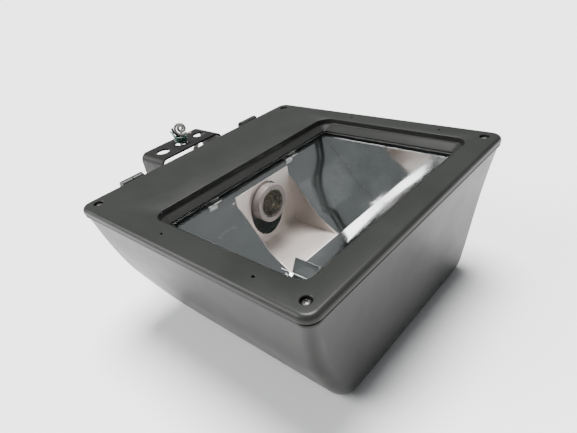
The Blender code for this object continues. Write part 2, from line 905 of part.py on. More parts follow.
def build_socket_bracket():
    """An L of steel: the lampholder is screwed to its upright, its foot stands on the tray."""
    back = SOCKET_BACK_X - GAP
    foot = TRAY_TOP - GAP
    outline = (
        (back - 0.0016, 0.042),
        (back, 0.042),
        (back, foot - 0.0016),
        (-0.0900, foot - 0.0016),
        (-0.0900, foot),
        (back - 0.0016, foot),
    )
    bracket = profile_along_y("socket_bracket", outline, -0.020, 0.020, zinc_steel())
    for side in (-1, 1):
        place = (back - 0.005, side * 0.0150, height(SOCKET_DEPTH))
        cut(bracket, rod("bracket_hole_cutter", place, (1, 0, 0), 0.0022, 0.008, sides=10))


def build_lampholder_screws(body):
    for number, side in enumerate((-1, 1), 1):
        back = SOCKET_BACK_X - 2 * GAP - 0.0016
        place = (back, side * 0.0150, height(SOCKET_DEPTH))
        build_small_screw(f"lampholder_screw_{number}", place, (1, 0, 0), 0.0034, 0.0017, 0.0060)
        deep = (SOCKET_BACK_X - 0.001, side * 0.0150, height(SOCKET_DEPTH))
        cut(body, rod("lampholder_hole_cutter", deep, (1, 0, 0), 0.0020, 0.0065, sides=10))


# --- control gear ------------------------------------------------------------------------------------


def build_tray():
    tray = plate(
        "gear_tray",
        rounded_rectangle(*TRAY_X, TRAY_HALF_Y, 0.020, 3),
        TRAY_TOP,
        TRAY_TOP + TRAY_THICKNESS,
        zinc_steel(),
    )
    for x, y in tray_screw_places():
        cut(tray, rod("tray_way_cutter", (x, y, height(0.140)), (0, 0, 1), 0.0024, 0.012, sides=10))
    for number, (x, y) in enumerate(tray_screw_places(), 1):
        seat = (x, y, height(TRAY_TOP - GAP))
        build_small_screw(f"tray_screw_{number}", seat, (0, 0, -1), 0.0036, 0.0015, 0.010)


def build_ballast():
    depths = (0.062, TRAY_TOP - GAP)
    core = block("ballast_core", (-0.144, -0.092), (-0.118, -0.062), depths, varnished_steel())
    window = (0.0740, 0.1200)
    cut(core, block("core_window_cutter_1", (-0.1365, -0.1260), (-0.130, -0.050), window))
    cut(core, block("core_window_cutter_2", (-0.1100, -0.0995), (-0.130, -0.050), window))
    outer = rounded_rectangle(-0.1362, -0.0998, 0.041, 0.008, 3)
    inner = rounded_rectangle(-0.1264, -0.1096, 0.0284, 0.0003, 1)
    coil = frame_ring("ballast_coil", inner, outer, 0.0744, 0.1196, coil_wrap())
    for piece in (coil, bpy.data.objects["ballast_coil_window"]):
        piece.data.transform(Matrix.Translation((0, -0.090, 0)))


def build_capacitor():
    """An oval can on its side, held down by a strap."""
    middle = (-0.121, 0.040, height(0.1035))
    profile = (
        (0.90, 0.0),
        (1.00, 0.002),
        (1.00, 0.083),
        (0.90, 0.085),
    )
    can = turned("capacitor_can", middle, (0, 1, 0), profile, bare_aluminium(), 24, (0.0210, 0.0270))
    for number, x in enumerate((-0.130, -0.112), 1):
        terminal = rod(
            f"terminal_{number}",
            (x, 0.0345, height(0.1035)),
            (0, 1, 0),
            0.0030,
            0.008,
            sides=10,
        )
        join(can, terminal)
    smooth(can)
    inner = [
        (-0.121 + 0.0220 * math.cos(angle), 0.1035 - 0.0280 * math.sin(angle))
        for angle in [math.pi * step / 12 for step in range(13)]
    ]
    foot = TRAY_TOP - GAP - 0.0006
    folds = [(-0.0898, foot), (inner[0][0], foot)] + inner + [(inner[-1][0], foot)]
    profile_along_y("capacitor_strap", ribbon(folds, SHEET), 0.078, 0.092, zinc_steel())


def build_ignitor():
    plate(
        "ignitor_case",
        rounded_rectangle(-0.1450, -0.1150, 0.024, 0.003, 2),
        0.0840,
        TRAY_TOP - GAP,
        plastic("potting_black", (0.03, 0.03, 0.035)),
    )


def build_inner_leads():
    socket_route = (
        (-0.118, -0.0480, height(0.0900)),
        (-0.117, -0.0430, height(0.0860)),
        (-0.113, -0.0380, height(0.0780)),
        (-0.107, -0.0355, height(0.0700)),
        (-0.100, -0.0340, height(0.0650)),
        (-0.094, -0.0310, height(0.0640)),
        (-0.090, -0.0262, height(0.0640)),
    )
    tube("socket_lead", socket_route, INNER_LEAD_RADIUS, plastic("lead_white", (0.85, 0.85, 0.83)))
    capacitor_route = (
        (-0.112, 0.0340, height(0.1035)),
        (-0.112, 0.0310, height(0.1030)),
        (-0.1140, 0.0290, height(0.0980)),
        (-0.1180, 0.0280, height(0.0900)),
        (-0.1235, 0.0260, height(0.0830)),
        (-0.1280, 0.0200, height(0.0798)),
        (-0.1300, 0.0150, height(0.0808)),
        (-0.1302, 0.0140, height(0.0832)),
    )
    tube("capacitor_lead", capacitor_route, INNER_LEAD_RADIUS, plastic("lead_red", (0.55, 0.05, 0.04)))


# --- yoke and leads ----------------------------------------------------------------------------------


def yoke_section():
    """The U across Y and depth: a flat back, two round bends and two straight arms."""
    tip = PIVOT_DEPTH + YOKE_END_RADIUS + 0.002
    outline = []
    for offset, order in ((0.0, 1), (YOKE_THICKNESS, -1)):
        half = YOKE_HALF_Y - offset
        bend = YOKE_BEND - offset
        side = [(half, tip)]
        for step in range(5):
            angle = math.pi / 2 * step / 4
            y = half - bend + bend * math.cos(angle)
            side.append((y, offset + bend - bend * math.sin(angle)))
        both = side + [(-y, depth) for y, depth in reversed(side)]
        outline += both[::order]
    return outline


def arm_mask():
    """Side view of the yoke: full width at the back, then a taper to a round end at the pivot."""
    half = YOKE_WIDTH / 2
    outline = [(PIVOT_X - half, -0.003), (PIVOT_X - half, 0.030)]
    for step in range(9):
        angle = math.pi * (1 + step / 8)
        x = PIVOT_X + YOKE_END_RADIUS * math.cos(angle)
        outline.append((x, PIVOT_DEPTH - YOKE_END_RADIUS * math.sin(angle)))
    outline += [(PIVOT_X + half, 0.030), (PIVOT_X + half, -0.003)]
    return profile_along_y("arm_mask", outline, -0.080, 0.080)


def build_yoke(marker):
    half = YOKE_WIDTH / 2
    sides = (PIVOT_X - half, PIVOT_X + half)
    rings = [[(x, y, height(depth)) for y, depth in yoke_section()] for x in sides]
    yoke = loft("yoke", rings, yoke_paint())
    boolean(yoke, arm_mask(), "INTERSECT")
    for side in (-1, 1):
        place = (PIVOT_X, side * SIDE_HOLE_Y, height(0.010))
        cut(yoke, rod("side_hole_cutter", place, (0, 0, 1), SIDE_HOLE_RADIUS, 0.020, sides=24))
        pivot = (PIVOT_X, side * 0.050, height(PIVOT_DEPTH))
        cut(yoke, rod("yoke_pivot_cutter", pivot, (0, side, 0), 0.0064, 0.020, sides=20))
    centre = (PIVOT_X, 0, height(0.010))
    cut(yoke, rod("lead_hole_cutter", centre, (0, 0, 1), LEAD_HOLE_RADIUS, 0.020, sides=24))
    put_origin(yoke, (PIVOT_X, 0, height(PIVOT_DEPTH)))
    smooth(yoke)
    leads = build_leads()
    hang_on(marker, yoke, *leads)


def build_pivot(number, side):
    """A hex bolt through one arm and a washer between the arm and the hub."""
    pivot_z = height(PIVOT_DEPTH)
    thickness = YOKE_HALF_Y - YOKE_THICKNESS - HUB_HALF_Y - 2 * GAP
    washer_profile = ((0.0066, 0.0), (0.0160, 0.0), (0.0160, thickness), (0.0066, thickness))
    start = (PIVOT_X, side * (HUB_HALF_Y + GAP), pivot_z)
    turned_ring(f"pivot_washer_{number}", start, (0, side, 0), washer_profile, silicone(), 20)
    seat = side * (YOKE_HALF_Y + GAP)
    inside = (PIVOT_X, seat + side * 0.0005, pivot_z)
    name = f"pivot_bolt_{number}"
    bolt = rod(name, inside, (0, -side, 0), PIVOT_BOLT_RADIUS, 0.0260, zinc_steel(), 20)
    outside = (PIVOT_X, seat, pivot_z)
    hexagon = turned(f"bolt_head_{number}", outside, (0, side, 0), BOLT_HEAD, sides=6)
    flange = rod(f"bolt_flange_{number}", outside, (0, side, 0), 0.0125, 0.0018, sides=20)
    join(bolt, hexagon, flange)


def build_strain_relief():
    profile = (
        (0.0042, 0.0),
        (0.0095, 0.0),
        (0.0095, 0.0050),
        (0.0080, 0.0055),
        (0.0075, 0.0110),
        (0.0055, 0.0140),
        (0.0042, 0.0140),
    )
    start = cord_way_point(HUB_RADIUS + GAP)
    nylon = plastic("black_nylon", (0.02, 0.02, 0.02))
    turned_ring("strain_relief", start, cord_way(), profile, nylon, 18)


def build_supply_cord():
    """The jacketed cord from the gland on the hub's far side, across and up into the yoke's middle hole."""
    bow = (
        (PIVOT_X - 0.0322, 0.0402, 0.0512),
        (PIVOT_X - 0.0345, 0.0415, 0.0435),
        (PIVOT_X - 0.0330, 0.0442, 0.0360),
        (PIVOT_X - 0.0280, 0.0462, 0.0290),
        (PIVOT_X - 0.0215, 0.0420, 0.0222),
        (PIVOT_X - 0.0160, 0.0335, 0.0182),
        (PIVOT_X - 0.0110, 0.0235, 0.0163),
        (PIVOT_X - 0.0068, 0.0140, 0.0150),
        (PIVOT_X - 0.0034, 0.0062, 0.0132),
        (PIVOT_X - 0.0010, 0.0012, 0.0098),
        (PIVOT_X - 0.0003, 0.0000, 0.0056),
    )
    route = [cord_way_point(0.012), cord_way_point(0.024), cord_way_point(0.036)]
    route += [(x, y, height(depth)) for x, y, depth in bow]
    tube("supply_cord", route, CORD_RADIUS, plastic("cord_black", (0.015, 0.015, 0.015)), 3)


def bundle_place(across, toward, up):
    """A point of the lead bundle: across runs to +X+Y, toward runs to +X-Y, up from the yoke's face."""
    along = Vector((0.7520, 0.6590, 0))
    side = Vector((0.6590, -0.7520, 0))
    return Vector((PIVOT_X, 0, FACE_Z)) + along * across + side * toward + Vector((0, 0, up))


def white_route():
    """Up the back of the hole, then a coil that opens out from its middle and ends at the far side."""
    route = [
        (0.0030, 0.0012, -0.0022),
        (0.0031, 0.0004, 0.0030),
        (0.0028, -0.0018, 0.0080),
        (0.0026, -0.0034, 0.0125),
        (0.0030, -0.0068, 0.0168),
        (0.0040, -0.0098, 0.0200),
        (0.0058, -0.0100, 0.0222),
    ]
    for step in range(LOOP_STEPS + 1):
        share = step / LOOP_STEPS
        angle = 2 * math.pi * LOOP_TURNS * share
        radius = LOOP_RADII[0] + (LOOP_RADII[1] - LOOP_RADII[0]) * share
        across = LOOP_ACROSS + radius * math.cos(angle)
        toward = -0.0076 + 0.0088 * share**0.6
        route.append((across, toward, LOOP_UP + radius * math.sin(angle)))
    return route + [(0.0146, 0.0006, 0.0142), (0.0176, 0.0008, 0.0152), (0.0198, 0.0010, 0.0156)]


def black_route():
    return [
        (-0.0005, 0.0022, -0.0022),
        (-0.0010, 0.0030, 0.0030),
        (-0.0016, 0.0036, 0.0080),
        (-0.0022, 0.0044, 0.0145),
        (-0.0040, 0.0064, 0.0190),
        (-0.0058, 0.0074, 0.0235),
        (-0.0068, 0.0072, 0.0285),
    ]


def green_route():
    """Spirals out of the hole, then winds round the other leads and ends at the near side."""
    route = []
    for step in range(WRAP_STEPS + 1):
        turned_by = WRAP_TURNS * step / WRAP_STEPS
        out = min(1.0, turned_by / WRAP_OUT)
        out = out * out * (3 - 2 * out)
        angle = WRAP_FIRST + 2 * math.pi * turned_by
        radius = WRAP_RADII[0] + (WRAP_RADII[1] - WRAP_RADII[0]) * out
        across = WRAP_CENTRE + radius * math.cos(angle)
        rise = WRAP_RISES[0] * min(1.0, turned_by / WRAP_ENTRY)
        rise += WRAP_RISES[1] * max(0.0, (turned_by - WRAP_ENTRY) / (WRAP_TURNS - WRAP_ENTRY))
        route.append((across, radius * math.sin(angle), WRAP_START + rise - WRAP_TILT * across * out))
    return route + [(-0.0118, -0.0050, 0.0160), (-0.0150, -0.0080, 0.0176)]


def build_leads():
    made = []
    for name, route, radius, colour in (
        ("white_lead", white_route(), WHITE_RADIUS, (0.78, 0.78, 0.76)),
        ("black_lead", black_route(), LEAD_RADIUS, (0.015, 0.015, 0.015)),
        ("green_lead", green_route(), LEAD_RADIUS, (0.03, 0.22, 0.12)),
    ):
        places = [bundle_place(*point) for point in route]
        made.append(tube(name, places, radius, plastic(name, colour)))
    return made


# --- assembly ----------------------------------------------------------------------------------------


def clear_scene():
    for found in list(bpy.data.objects):
        bpy.data.objects.remove(found, do_unlink=True)


def build_reflector_screws():
    for number, (x, y) in enumerate(reflector_screw_places(), 1):
        seat = (x, y, height(REFLECTOR_TOP - SHEET / 2 - GAP))
        build_small_screw(f"reflector_screw_{number}", seat, (0, 0, -1), 0.0035, 0.0016, 0.009)


def main():
    clear_scene()
    build_housing()
    build_door_gasket()
    for number, side in enumerate((-1, 1), 1):
        build_hinge_pin(f"hinge_pin_{number}", side)
        build_pivot(number, side)
        build_end_panel(f"reflector_end_{number}", side)
    build_door(axis_marker("door_hinge_axis", (HINGE_X, 0, height(HINGE_DEPTH))))
    build_trough()
    build_socket_plate()
    build_kicker()
    build_reflector_screws()
    porcelain_body = build_lampholder()
    build_socket_bracket()
    build_lampholder_screws(porcelain_body)
    build_tray()
    build_ballast()
    build_capacitor()
    build_ignitor()
    build_inner_leads()
    build_strain_relief()
    build_supply_cord()
    build_yoke(axis_marker("yoke_pivot_axis", (PIVOT_X, 0, height(PIVOT_DEPTH))))


main()
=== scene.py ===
"""Looks for the area floodlight: castings, glass, reflector, lampholder, control gear, yoke and leads.

Everything is in metres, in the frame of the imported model: +Z is up and the origin is on the back face.
A depth is measured down from FACE_Z.
"""

import math

import bmesh
import bpy
from mathutils import Matrix, Vector


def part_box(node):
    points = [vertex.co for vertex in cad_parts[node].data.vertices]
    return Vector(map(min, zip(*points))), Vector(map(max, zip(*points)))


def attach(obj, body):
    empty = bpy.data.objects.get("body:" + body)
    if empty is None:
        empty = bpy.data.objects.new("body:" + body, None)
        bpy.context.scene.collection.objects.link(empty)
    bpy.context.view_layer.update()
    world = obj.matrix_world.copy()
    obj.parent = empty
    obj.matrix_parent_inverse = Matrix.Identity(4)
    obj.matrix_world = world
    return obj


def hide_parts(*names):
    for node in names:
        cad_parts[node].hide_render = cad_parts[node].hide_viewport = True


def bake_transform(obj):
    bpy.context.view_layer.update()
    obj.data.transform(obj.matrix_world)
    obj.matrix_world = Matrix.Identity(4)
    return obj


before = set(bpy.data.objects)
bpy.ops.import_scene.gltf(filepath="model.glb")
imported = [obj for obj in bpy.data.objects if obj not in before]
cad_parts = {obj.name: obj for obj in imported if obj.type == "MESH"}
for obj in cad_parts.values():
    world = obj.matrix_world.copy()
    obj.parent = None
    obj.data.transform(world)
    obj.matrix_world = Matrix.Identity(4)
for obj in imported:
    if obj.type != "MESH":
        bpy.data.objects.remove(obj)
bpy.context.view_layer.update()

DOOR_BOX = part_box("door_frame")
# The top of the door's box is the top of its hinge knuckles, 1.5 mm above the flat face of the CAD door.
FACE_Z = DOOR_BOX[1].z
DOOR_HALF_X = DOOR_BOX[1].x
DOOR_HALF_Y = DOOR_BOX[1].y
GAP = 0.0003

# Camera and light: the camera's height is above FACE_Z.
CAMERA_PLACE = (0.4035, -0.4029, 0.2708)
CAMERA_TARGET = (0.0755, -0.0910)
CAMERA_ROLL = math.radians(-10.0)
CAMERA_LENS = 29.6
SENSOR_WIDTH = 36.0
WORLD_COLOUR = (0.84, 0.87, 0.90, 1.0)
WORLD_STRENGTH = 0.26
FLOOR_REACH = 14.0

# Rounded edges and shading.
SHARP_ANGLE = math.radians(32)
SOFT_ANGLE = math.radians(40)
SOFT_SEGMENTS = 2
WELD_DISTANCE = 0.00001

# Door casting.
DOOR_RADIUS = 0.016
DOOR_DEPTH = 0.013
BEAD = 0.006
GROOVE_DEPTHS = (0.0090, 0.0105)
GROOVE_INSET = 0.0025
FLANGE_INSET = 0.0010
RECESS = (-0.078, 0.167, 0.1715, 0.020)
RECESS_WALL = 0.008
OPENING = (-0.0680, 0.1515, 0.1575, 0.004)
OPENING_DEPTH = 0.015
LEDGE_BOTTOM = 0.017
LEDGE_WALL = 0.0035
LIP = 0.0009
SCREWS = [(x * 0.180, y * 0.187) for x in (-1, 1) for y in (-1, 1)]
COUNTERBORE_RADIUS = 0.0062
COUNTERBORE_DEPTH = 0.005
COUNTERBORE_CHAMFER = 0.0007
SCREW_WAY_RADIUS = 0.0029
ACCESSORY_X = (-0.033, 0.116)
ACCESSORY_Y = 0.188
ACCESSORY_RADIUS = 0.0018
GEAR_POCKET = ((-0.172, -0.085), (-0.165, 0.165), (0.0045, 0.020))

# Hinges.
HINGE_X = -0.205
HINGE_DEPTH = 0.006
KNUCKLE_RADIUS = 0.0075
KNUCKLE_Y = (0.1010, 0.1185)
EAR_Y = (0.1190, 0.1365)
EAR_NOTCH_X = (-0.2145, -0.1955)
EAR_NOTCH_DEPTHS = (-0.004, 0.016)
EAR_NOTCH_PLAY = (0.0004, 0.0024)
PIN_HOLE_RADIUS = 0.00215
PIN_HOLE_Y = 0.098
PIN_HOLE_LENGTH = 0.042

# Housing casting: depth, far side, near side, half width, corner radius.
HOUSING_SECTIONS = (
    (0.0150, 0.1965, 0.1965, 0.2035, 0.0140),
    (0.0600, 0.1875, 0.1885, 0.1950, 0.0165),
    (0.1000, 0.1820, 0.1755, 0.1845, 0.0185),
    (0.1350, 0.1795, 0.1555, 0.1700, 0.0200),
    (0.1600, 0.1775, 0.1365, 0.1585, 0.0205),
    (0.1770, 0.1755, 0.1230, 0.1495, 0.0205),
    (0.1865, 0.1700, 0.1145, 0.1430, 0.0200),
    (0.1900, 0.1600, 0.1045, 0.1330, 0.0180),
)
WALL = 0.004
RIM_TOP = 0.015
RIM_BOTTOM = 0.021
RIM_WIDTH = 0.0185
RIM_RADIUS = 0.012
RIM_CHAMFER = 0.0008
SCREW_HOLE_RADIUS = 0.0027
# A place, a radius and the depth of the foot for each post under the gear tray, on both sides.
TRAY_POSTS = (((-0.094, 0.142), 0.005, 0.1800), ((-0.128, 0.134), 0.004, 0.1650))
TRAY_DEPTH = 0.134
BOSS_DEPTHS = (0.0275, 0.040)

# Neck and yoke.
PIVOT_X = -0.2407
PIVOT_DEPTH = 0.085
HUB_RADIUS = 0.024
HUB_HALF_Y = 0.054
PIVOT_HOLE_RADIUS = 0.0063
YOKE_THICKNESS = 0.003
YOKE_HALF_Y = 0.062
YOKE_WIDTH = 0.057
YOKE_BEND = 0.012
YOKE_END_RADIUS = 0.022
YOKE_STRAIGHT = 0.030
YOKE_PIVOT_RADIUS = 0.0064
LEAD_HOLE_RADIUS = 0.011
SIDE_HOLE_Y = 0.037
SIDE_HOLE_RADIUS = 0.0105

# Lampholder.
SOCKET_DEPTH = 0.064
SOCKET_FRONT_X = -0.047
SOCKET_BACK_X = -0.1056
SOCKET_RADIUS = 0.0285
SOCKET_BORE_RADIUS = 0.0210
SOCKET_BORE_DEPTH = 0.0512
THREAD_PITCH = 0.00635
THREAD_RADIUS = 0.01960
THREAD_HEIGHT = 0.00045
SHELL_WALL = 0.0005
SHELL_LENGTH = 0.043

# The reflector's flanges lie above this depth, where the sheet is duller.
FLANGE_DEPTH = 0.0276

# Cord and leads.
CORD_RADIUS = 0.0035
CORD_Y = 0.040
LEAD_RADIUS = 0.0017
WHITE_RADIUS = 0.0021
LOOP_RADII = (0.0026, 0.0106)
LOOP_ACROSS = 0.0045
LOOP_UP = 0.0236
LOOP_TURNS = 1.861
LOOP_STEPS = 22
WRAP_CENTRE = 0.0008
WRAP_RADII = (0.0028, 0.0090)
WRAP_START = -0.0012
WRAP_RISES = (0.0048, 0.0082)
WRAP_FIRST = math.radians(-112)
WRAP_TURNS = 2.75
WRAP_OUT = 0.42
WRAP_ENTRY = 0.55
WRAP_TILT = 0.15
WRAP_STEPS = 36


def height(depth):
    return FACE_Z - depth


# --- camera, light and floor -------------------------------------------------------------------------


def add_camera():
    camera = bpy.data.objects.new("camera", bpy.data.cameras.new("camera"))
    bpy.context.scene.collection.objects.link(camera)
    x, y, above = CAMERA_PLACE
    place = Vector((x, y, FACE_Z + above))
    target = Vector((*CAMERA_TARGET, FACE_Z))
    camera.location = place
    turn = (target - place).to_track_quat("-Z", "Y").to_matrix()
    camera.rotation_euler = (turn @ Matrix.Rotation(CAMERA_ROLL, 3, "Z")).to_euler()
    camera.data.lens = CAMERA_LENS
    camera.data.sensor_width = SENSOR_WIDTH
    camera.data.clip_end = 50.0
    bpy.context.scene.camera = camera


def broad_light(name, way, power, spread):
    """A soft light from far away, the same everywhere. The way runs from the object to the light."""
    data = bpy.data.lights.new(name, "SUN")
    data.energy = power
    data.angle = math.radians(spread)
    light = bpy.data.objects.new(name, data)
    bpy.context.scene.collection.objects.link(light)
    light.rotation_euler = Vector(way).to_track_quat("Z", "Y").to_euler()


def add_studio():
    broad_light("overhead", way=(-0.17, 0.22, 1.0), power=9.5, spread=34)
    broad_light("key_left", way=(-0.62, -0.59, 0.55), power=3.4, spread=40)
    world = bpy.data.worlds.new("studio")
    world.use_nodes = True
    background = world.node_tree.nodes["Background"]
    background.inputs["Color"].default_value = WORLD_COLOUR
    background.inputs["Strength"].default_value = WORLD_STRENGTH
    bpy.context.scene.world = world


def add_floor():
    mesh = bpy.data.meshes.new("floor")
    signs = ((-1, -1), (1, -1), (1, 1), (-1, 1))
    corners = [(x * FLOOR_REACH, y * FLOOR_REACH, 0) for x, y in signs]
    mesh.from_pydata(corners, [], [(0, 1, 2, 3)])
    floor = bpy.data.objects.new("floor", mesh)
    bpy.context.scene.collection.objects.link(floor)
    finish = Finish("pale_floor", roughness=0.75)
    finish.colour(finish.noise(0.8, 2), 0.3, 0.7, (0.93, 0.93, 0.93), (0.96, 0.96, 0.96))
    mesh.materials.append(finish.material)


# --- materials ---------------------------------------------------------------------------------------


class Finish:
    """One procedural material, built by short calls. Its patterns follow the piece's own coordinates."""

    def __init__(self, name, roughness, metallic=0.0, **inputs):
        self.material = bpy.data.materials.new(name)
        self.material.use_nodes = True
        self.nodes = self.material.node_tree.nodes
        self.links = self.material.node_tree.links
        self.shader = self.nodes["Principled BSDF"]
        self.shader.inputs["Roughness"].default_value = roughness
        self.shader.inputs["Metallic"].default_value = metallic
        for socket, value in inputs.items():
            self.shader.inputs[socket.replace("_", " ")].default_value = value
        self.place = self.nodes.new("ShaderNodeTexCoord").outputs["Object"]
        self.last_bump = None

    def stretched(self, stretch):
        mapping = self.nodes.new("ShaderNodeMapping")
        mapping.inputs["Scale"].default_value = stretch
        self.links.new(self.place, mapping.inputs["Vector"])
        return mapping.outputs["Vector"]

    def noise(self, scale, detail=2.0, stretch=(1, 1, 1)):
        texture = self.nodes.new("ShaderNodeTexNoise")
        texture.inputs["Scale"].default_value = scale
        texture.inputs["Detail"].default_value = detail
        self.links.new(self.stretched(stretch), texture.inputs["Vector"])
        return texture.outputs["Fac"]

    def cells(self, scale, stretch=(1, 1, 1)):
        texture = self.nodes.new("ShaderNodeTexVoronoi")
        texture.inputs["Scale"].default_value = scale
        self.links.new(self.stretched(stretch), texture.inputs["Vector"])
        return texture.outputs["Color"]

    def bands(self, scale, direction, distortion=0.0):
        texture = self.nodes.new("ShaderNodeTexWave")
        texture.bands_direction = direction
        texture.inputs["Scale"].default_value = scale
        texture.inputs["Distortion"].default_value = distortion
        self.links.new(self.stretched((1, 1, 1)), texture.inputs["Vector"])
        return texture.outputs["Fac"]

    def ranged(self, source, low, high, to_low, to_high):
        node = self.nodes.new("ShaderNodeMapRange")
        names = ("From Min", "From Max", "To Min", "To Max")
        for name, value in zip(names, (low, high, to_low, to_high)):
            node.inputs[name].default_value = value
        self.links.new(source, node.inputs["Value"])
        return node.outputs["Result"]

    def ramp(self, source, low, high, first, second):
        node = self.nodes.new("ShaderNodeValToRGB")
        ends = node.color_ramp.elements
        ends[0].position, ends[1].position = low, high
        ends[0].color, ends[1].color = (*first, 1.0), (*second, 1.0)
        self.links.new(source, node.inputs["Fac"])
        return node.outputs["Color"]

    def colour(self, source, low, high, first, second):
        self.links.new(self.ramp(source, low, high, first, second), self.shader.inputs["Base Color"])

    def tint(self, source, low, high, colour):
        """Lays a colour over the base where the pattern is high."""
        mix = self.nodes.new("ShaderNodeMixRGB")
        base = self.shader.inputs["Base Color"].links[0].from_socket
        self.links.new(self.ranged(source, low, high, 0.0, 1.0), mix.inputs["Fac"])
        self.links.new(base, mix.inputs["Color1"])
        mix.inputs["Color2"].default_value = (*colour, 1.0)
        self.links.new(mix.outputs["Color"], self.shader.inputs["Base Color"])

    def above(self, depth, most):
        """Nothing below this depth, and rising to the most a little above it."""
        fade = 0.0004
        separate = self.nodes.new("ShaderNodeSeparateXYZ")
        self.links.new(self.place, separate.inputs["Vector"])
        return self.ranged(separate.outputs["Z"], height(depth), height(depth) + fade, 0.0, most)

    def vary(self, socket, source, low, high, to_low, to_high):
        self.links.new(self.ranged(source, low, high, to_low, to_high), self.shader.inputs[socket])

    def bump(self, source, distance, strength=1.0):
        node = self.nodes.new("ShaderNodeBump")
        node.inputs["Distance"].default_value = distance
        node.inputs["Strength"].default_value = strength
        self.links.new(source, node.inputs["Height"])
        if self.last_bump:
            self.links.new(self.last_bump, node.inputs["Normal"])
        self.last_bump = node.outputs["Normal"]
        self.links.new(self.last_bump, self.shader.inputs["Normal"])


def powder_coat():
    """Dark bronze-grey coat: fine orange peel, slow colour drift, a little dust and rubbed patches."""
    finish = Finish("powder_coat", 0.32, Specular_IOR_Level=0.17)
    finish.colour(finish.noise(9, 4), 0.35, 0.68, (0.0155, 0.0165, 0.0150), (0.0200, 0.0210, 0.0190))
    finish.tint(finish.noise(430, 3), 0.68, 0.82, (0.034, 0.034, 0.031))
    finish.vary("Roughness", finish.noise(30, 5), 0.32, 0.70, 0.30, 0.35)
    finish.bump(finish.noise(1100, 2), 0.00008, 0.35)
    finish.bump(finish.noise(26, 2), 0.0004, 0.03)
    return finish.material


def black_paint():
    """Thin black paint on rolled steel: faint rolling lines, rubbed and scuffed."""
    finish = Finish("black_paint", 0.40, Specular_IOR_Level=0.16)
    finish.colour(finish.noise(18, 4), 0.35, 0.70, (0.007, 0.007, 0.007), (0.013, 0.013, 0.012))
    finish.tint(finish.noise(90, 6, (1.0, 0.12, 1.0)), 0.66, 0.76, (0.050, 0.049, 0.047))
    finish.vary("Roughness", finish.noise(40, 5), 0.30, 0.70, 0.26, 0.50)
    finish.bump(finish.noise(700, 3, (1.0, 0.15, 1.0)), 0.00006, 0.5)
    return finish.material


def polished_sheet(name, tint, rough):
    """Anodised reflector sheet: rolling grain along its folds, smears, dust, and a dull flange on top."""
    finish = Finish(name, rough, 1.0)
    low = tuple(0.90 * part for part in tint)
    finish.colour(finish.noise(16, 3), 0.30, 0.72, low, tint)
    finish.tint(finish.noise(900, 2), 0.72, 0.82, (0.42, 0.41, 0.39))
    smear = finish.ranged(finish.noise(22, 5, (1.0, 0.35, 1.0)), 0.35, 0.70, rough, rough + 0.10)
    duller = finish.nodes.new("ShaderNodeMath")
    duller.operation = "MAXIMUM"
    finish.links.new(smear, duller.inputs[0])
    finish.links.new(finish.above(FLANGE_DEPTH, 0.60), duller.inputs[1])
    finish.links.new(duller.outputs["Value"], finish.shader.inputs["Roughness"])
    finish.bump(finish.noise(1200, 2, (1.0, 0.02, 1.0)), 0.000012, 0.6)
    finish.bump(finish.noise(14, 1), 0.0010, 0.12)
    return finish.material


def zinc_plate():
    finish = Finish("zinc_plate", 0.34, 1.0)
    finish.colour(finish.cells(150), 0.15, 0.85, (0.50, 0.50, 0.49), (0.66, 0.66, 0.64))
    finish.tint(finish.noise(120, 4), 0.62, 0.78, (0.34, 0.33, 0.31))
    finish.vary("Roughness", finish.noise(90, 4), 0.3, 0.7, 0.26, 0.46)
    finish.bump(finish.noise(900, 2), 0.00002, 0.5)
    return finish.material


def stainless():
    finish = Finish("stainless", 0.40, 1.0)
    finish.colour(finish.noise(300, 3), 0.3, 0.7, (0.06, 0.06, 0.057), (0.12, 0.117, 0.11))
    finish.vary("Roughness", finish.noise(260, 4), 0.3, 0.7, 0.34, 0.50)
    finish.bump(finish.noise(1600, 2), 0.00002, 0.5)
    return finish.material


def silicone():
    finish = Finish("silicone", 0.72)
    finish.colour(finish.noise(60, 4), 0.3, 0.7, (0.11, 0.11, 0.11), (0.19, 0.19, 0.19))
    finish.bump(finish.noise(1300, 2), 0.00004, 0.6)
    return finish.material


def porcelain():
    """Glazed porcelain, warm and slightly uneven, with a few dark specks in the glaze."""
    finish = Finish("porcelain", 0.20, Coat_Weight=0.5, Coat_Roughness=0.12)
    finish.colour(finish.noise(45, 3), 0.3, 0.7, (0.25, 0.205, 0.195), (0.34, 0.29, 0.275))
    finish.tint(finish.noise(800, 2), 0.74, 0.80, (0.16, 0.13, 0.11))
    finish.vary("Roughness", finish.noise(70, 4), 0.3, 0.7, 0.14, 0.34)
    finish.bump(finish.noise(160, 3), 0.00020, 0.25)
    return finish.material


def nickel():
    finish = Finish("nickel", 0.22, 1.0)
    finish.colour(finish.noise(70, 4), 0.3, 0.7, (0.52, 0.47, 0.38), (0.70, 0.66, 0.58))
    finish.tint(finish.noise(420, 3), 0.64, 0.78, (0.22, 0.16, 0.10))
    finish.vary("Roughness", finish.noise(130, 4), 0.3, 0.7, 0.16, 0.40)
    finish.bump(finish.noise(1500, 2), 0.00002, 0.5)
    return finish.material


def clear_glass():
    """A clear pane with faint wiped smears and dust."""
    finish = Finish("clear_glass", 0.03, Alpha=0.10)
    finish.colour(finish.noise(8, 3), 0.3, 0.7, (0.012, 0.016, 0.014), (0.022, 0.028, 0.025))
    smear = finish.noise(14, 6, (1.0, 0.3, 1.0))
    finish.vary("Alpha", smear, 0.40, 0.75, 0.10, 0.17)
    finish.vary("Roughness", finish.noise(40, 5), 0.35, 0.70, 0.02, 0.10)
    finish.bump(finish.noise(5, 1), 0.0004, 0.2)
    return finish.material


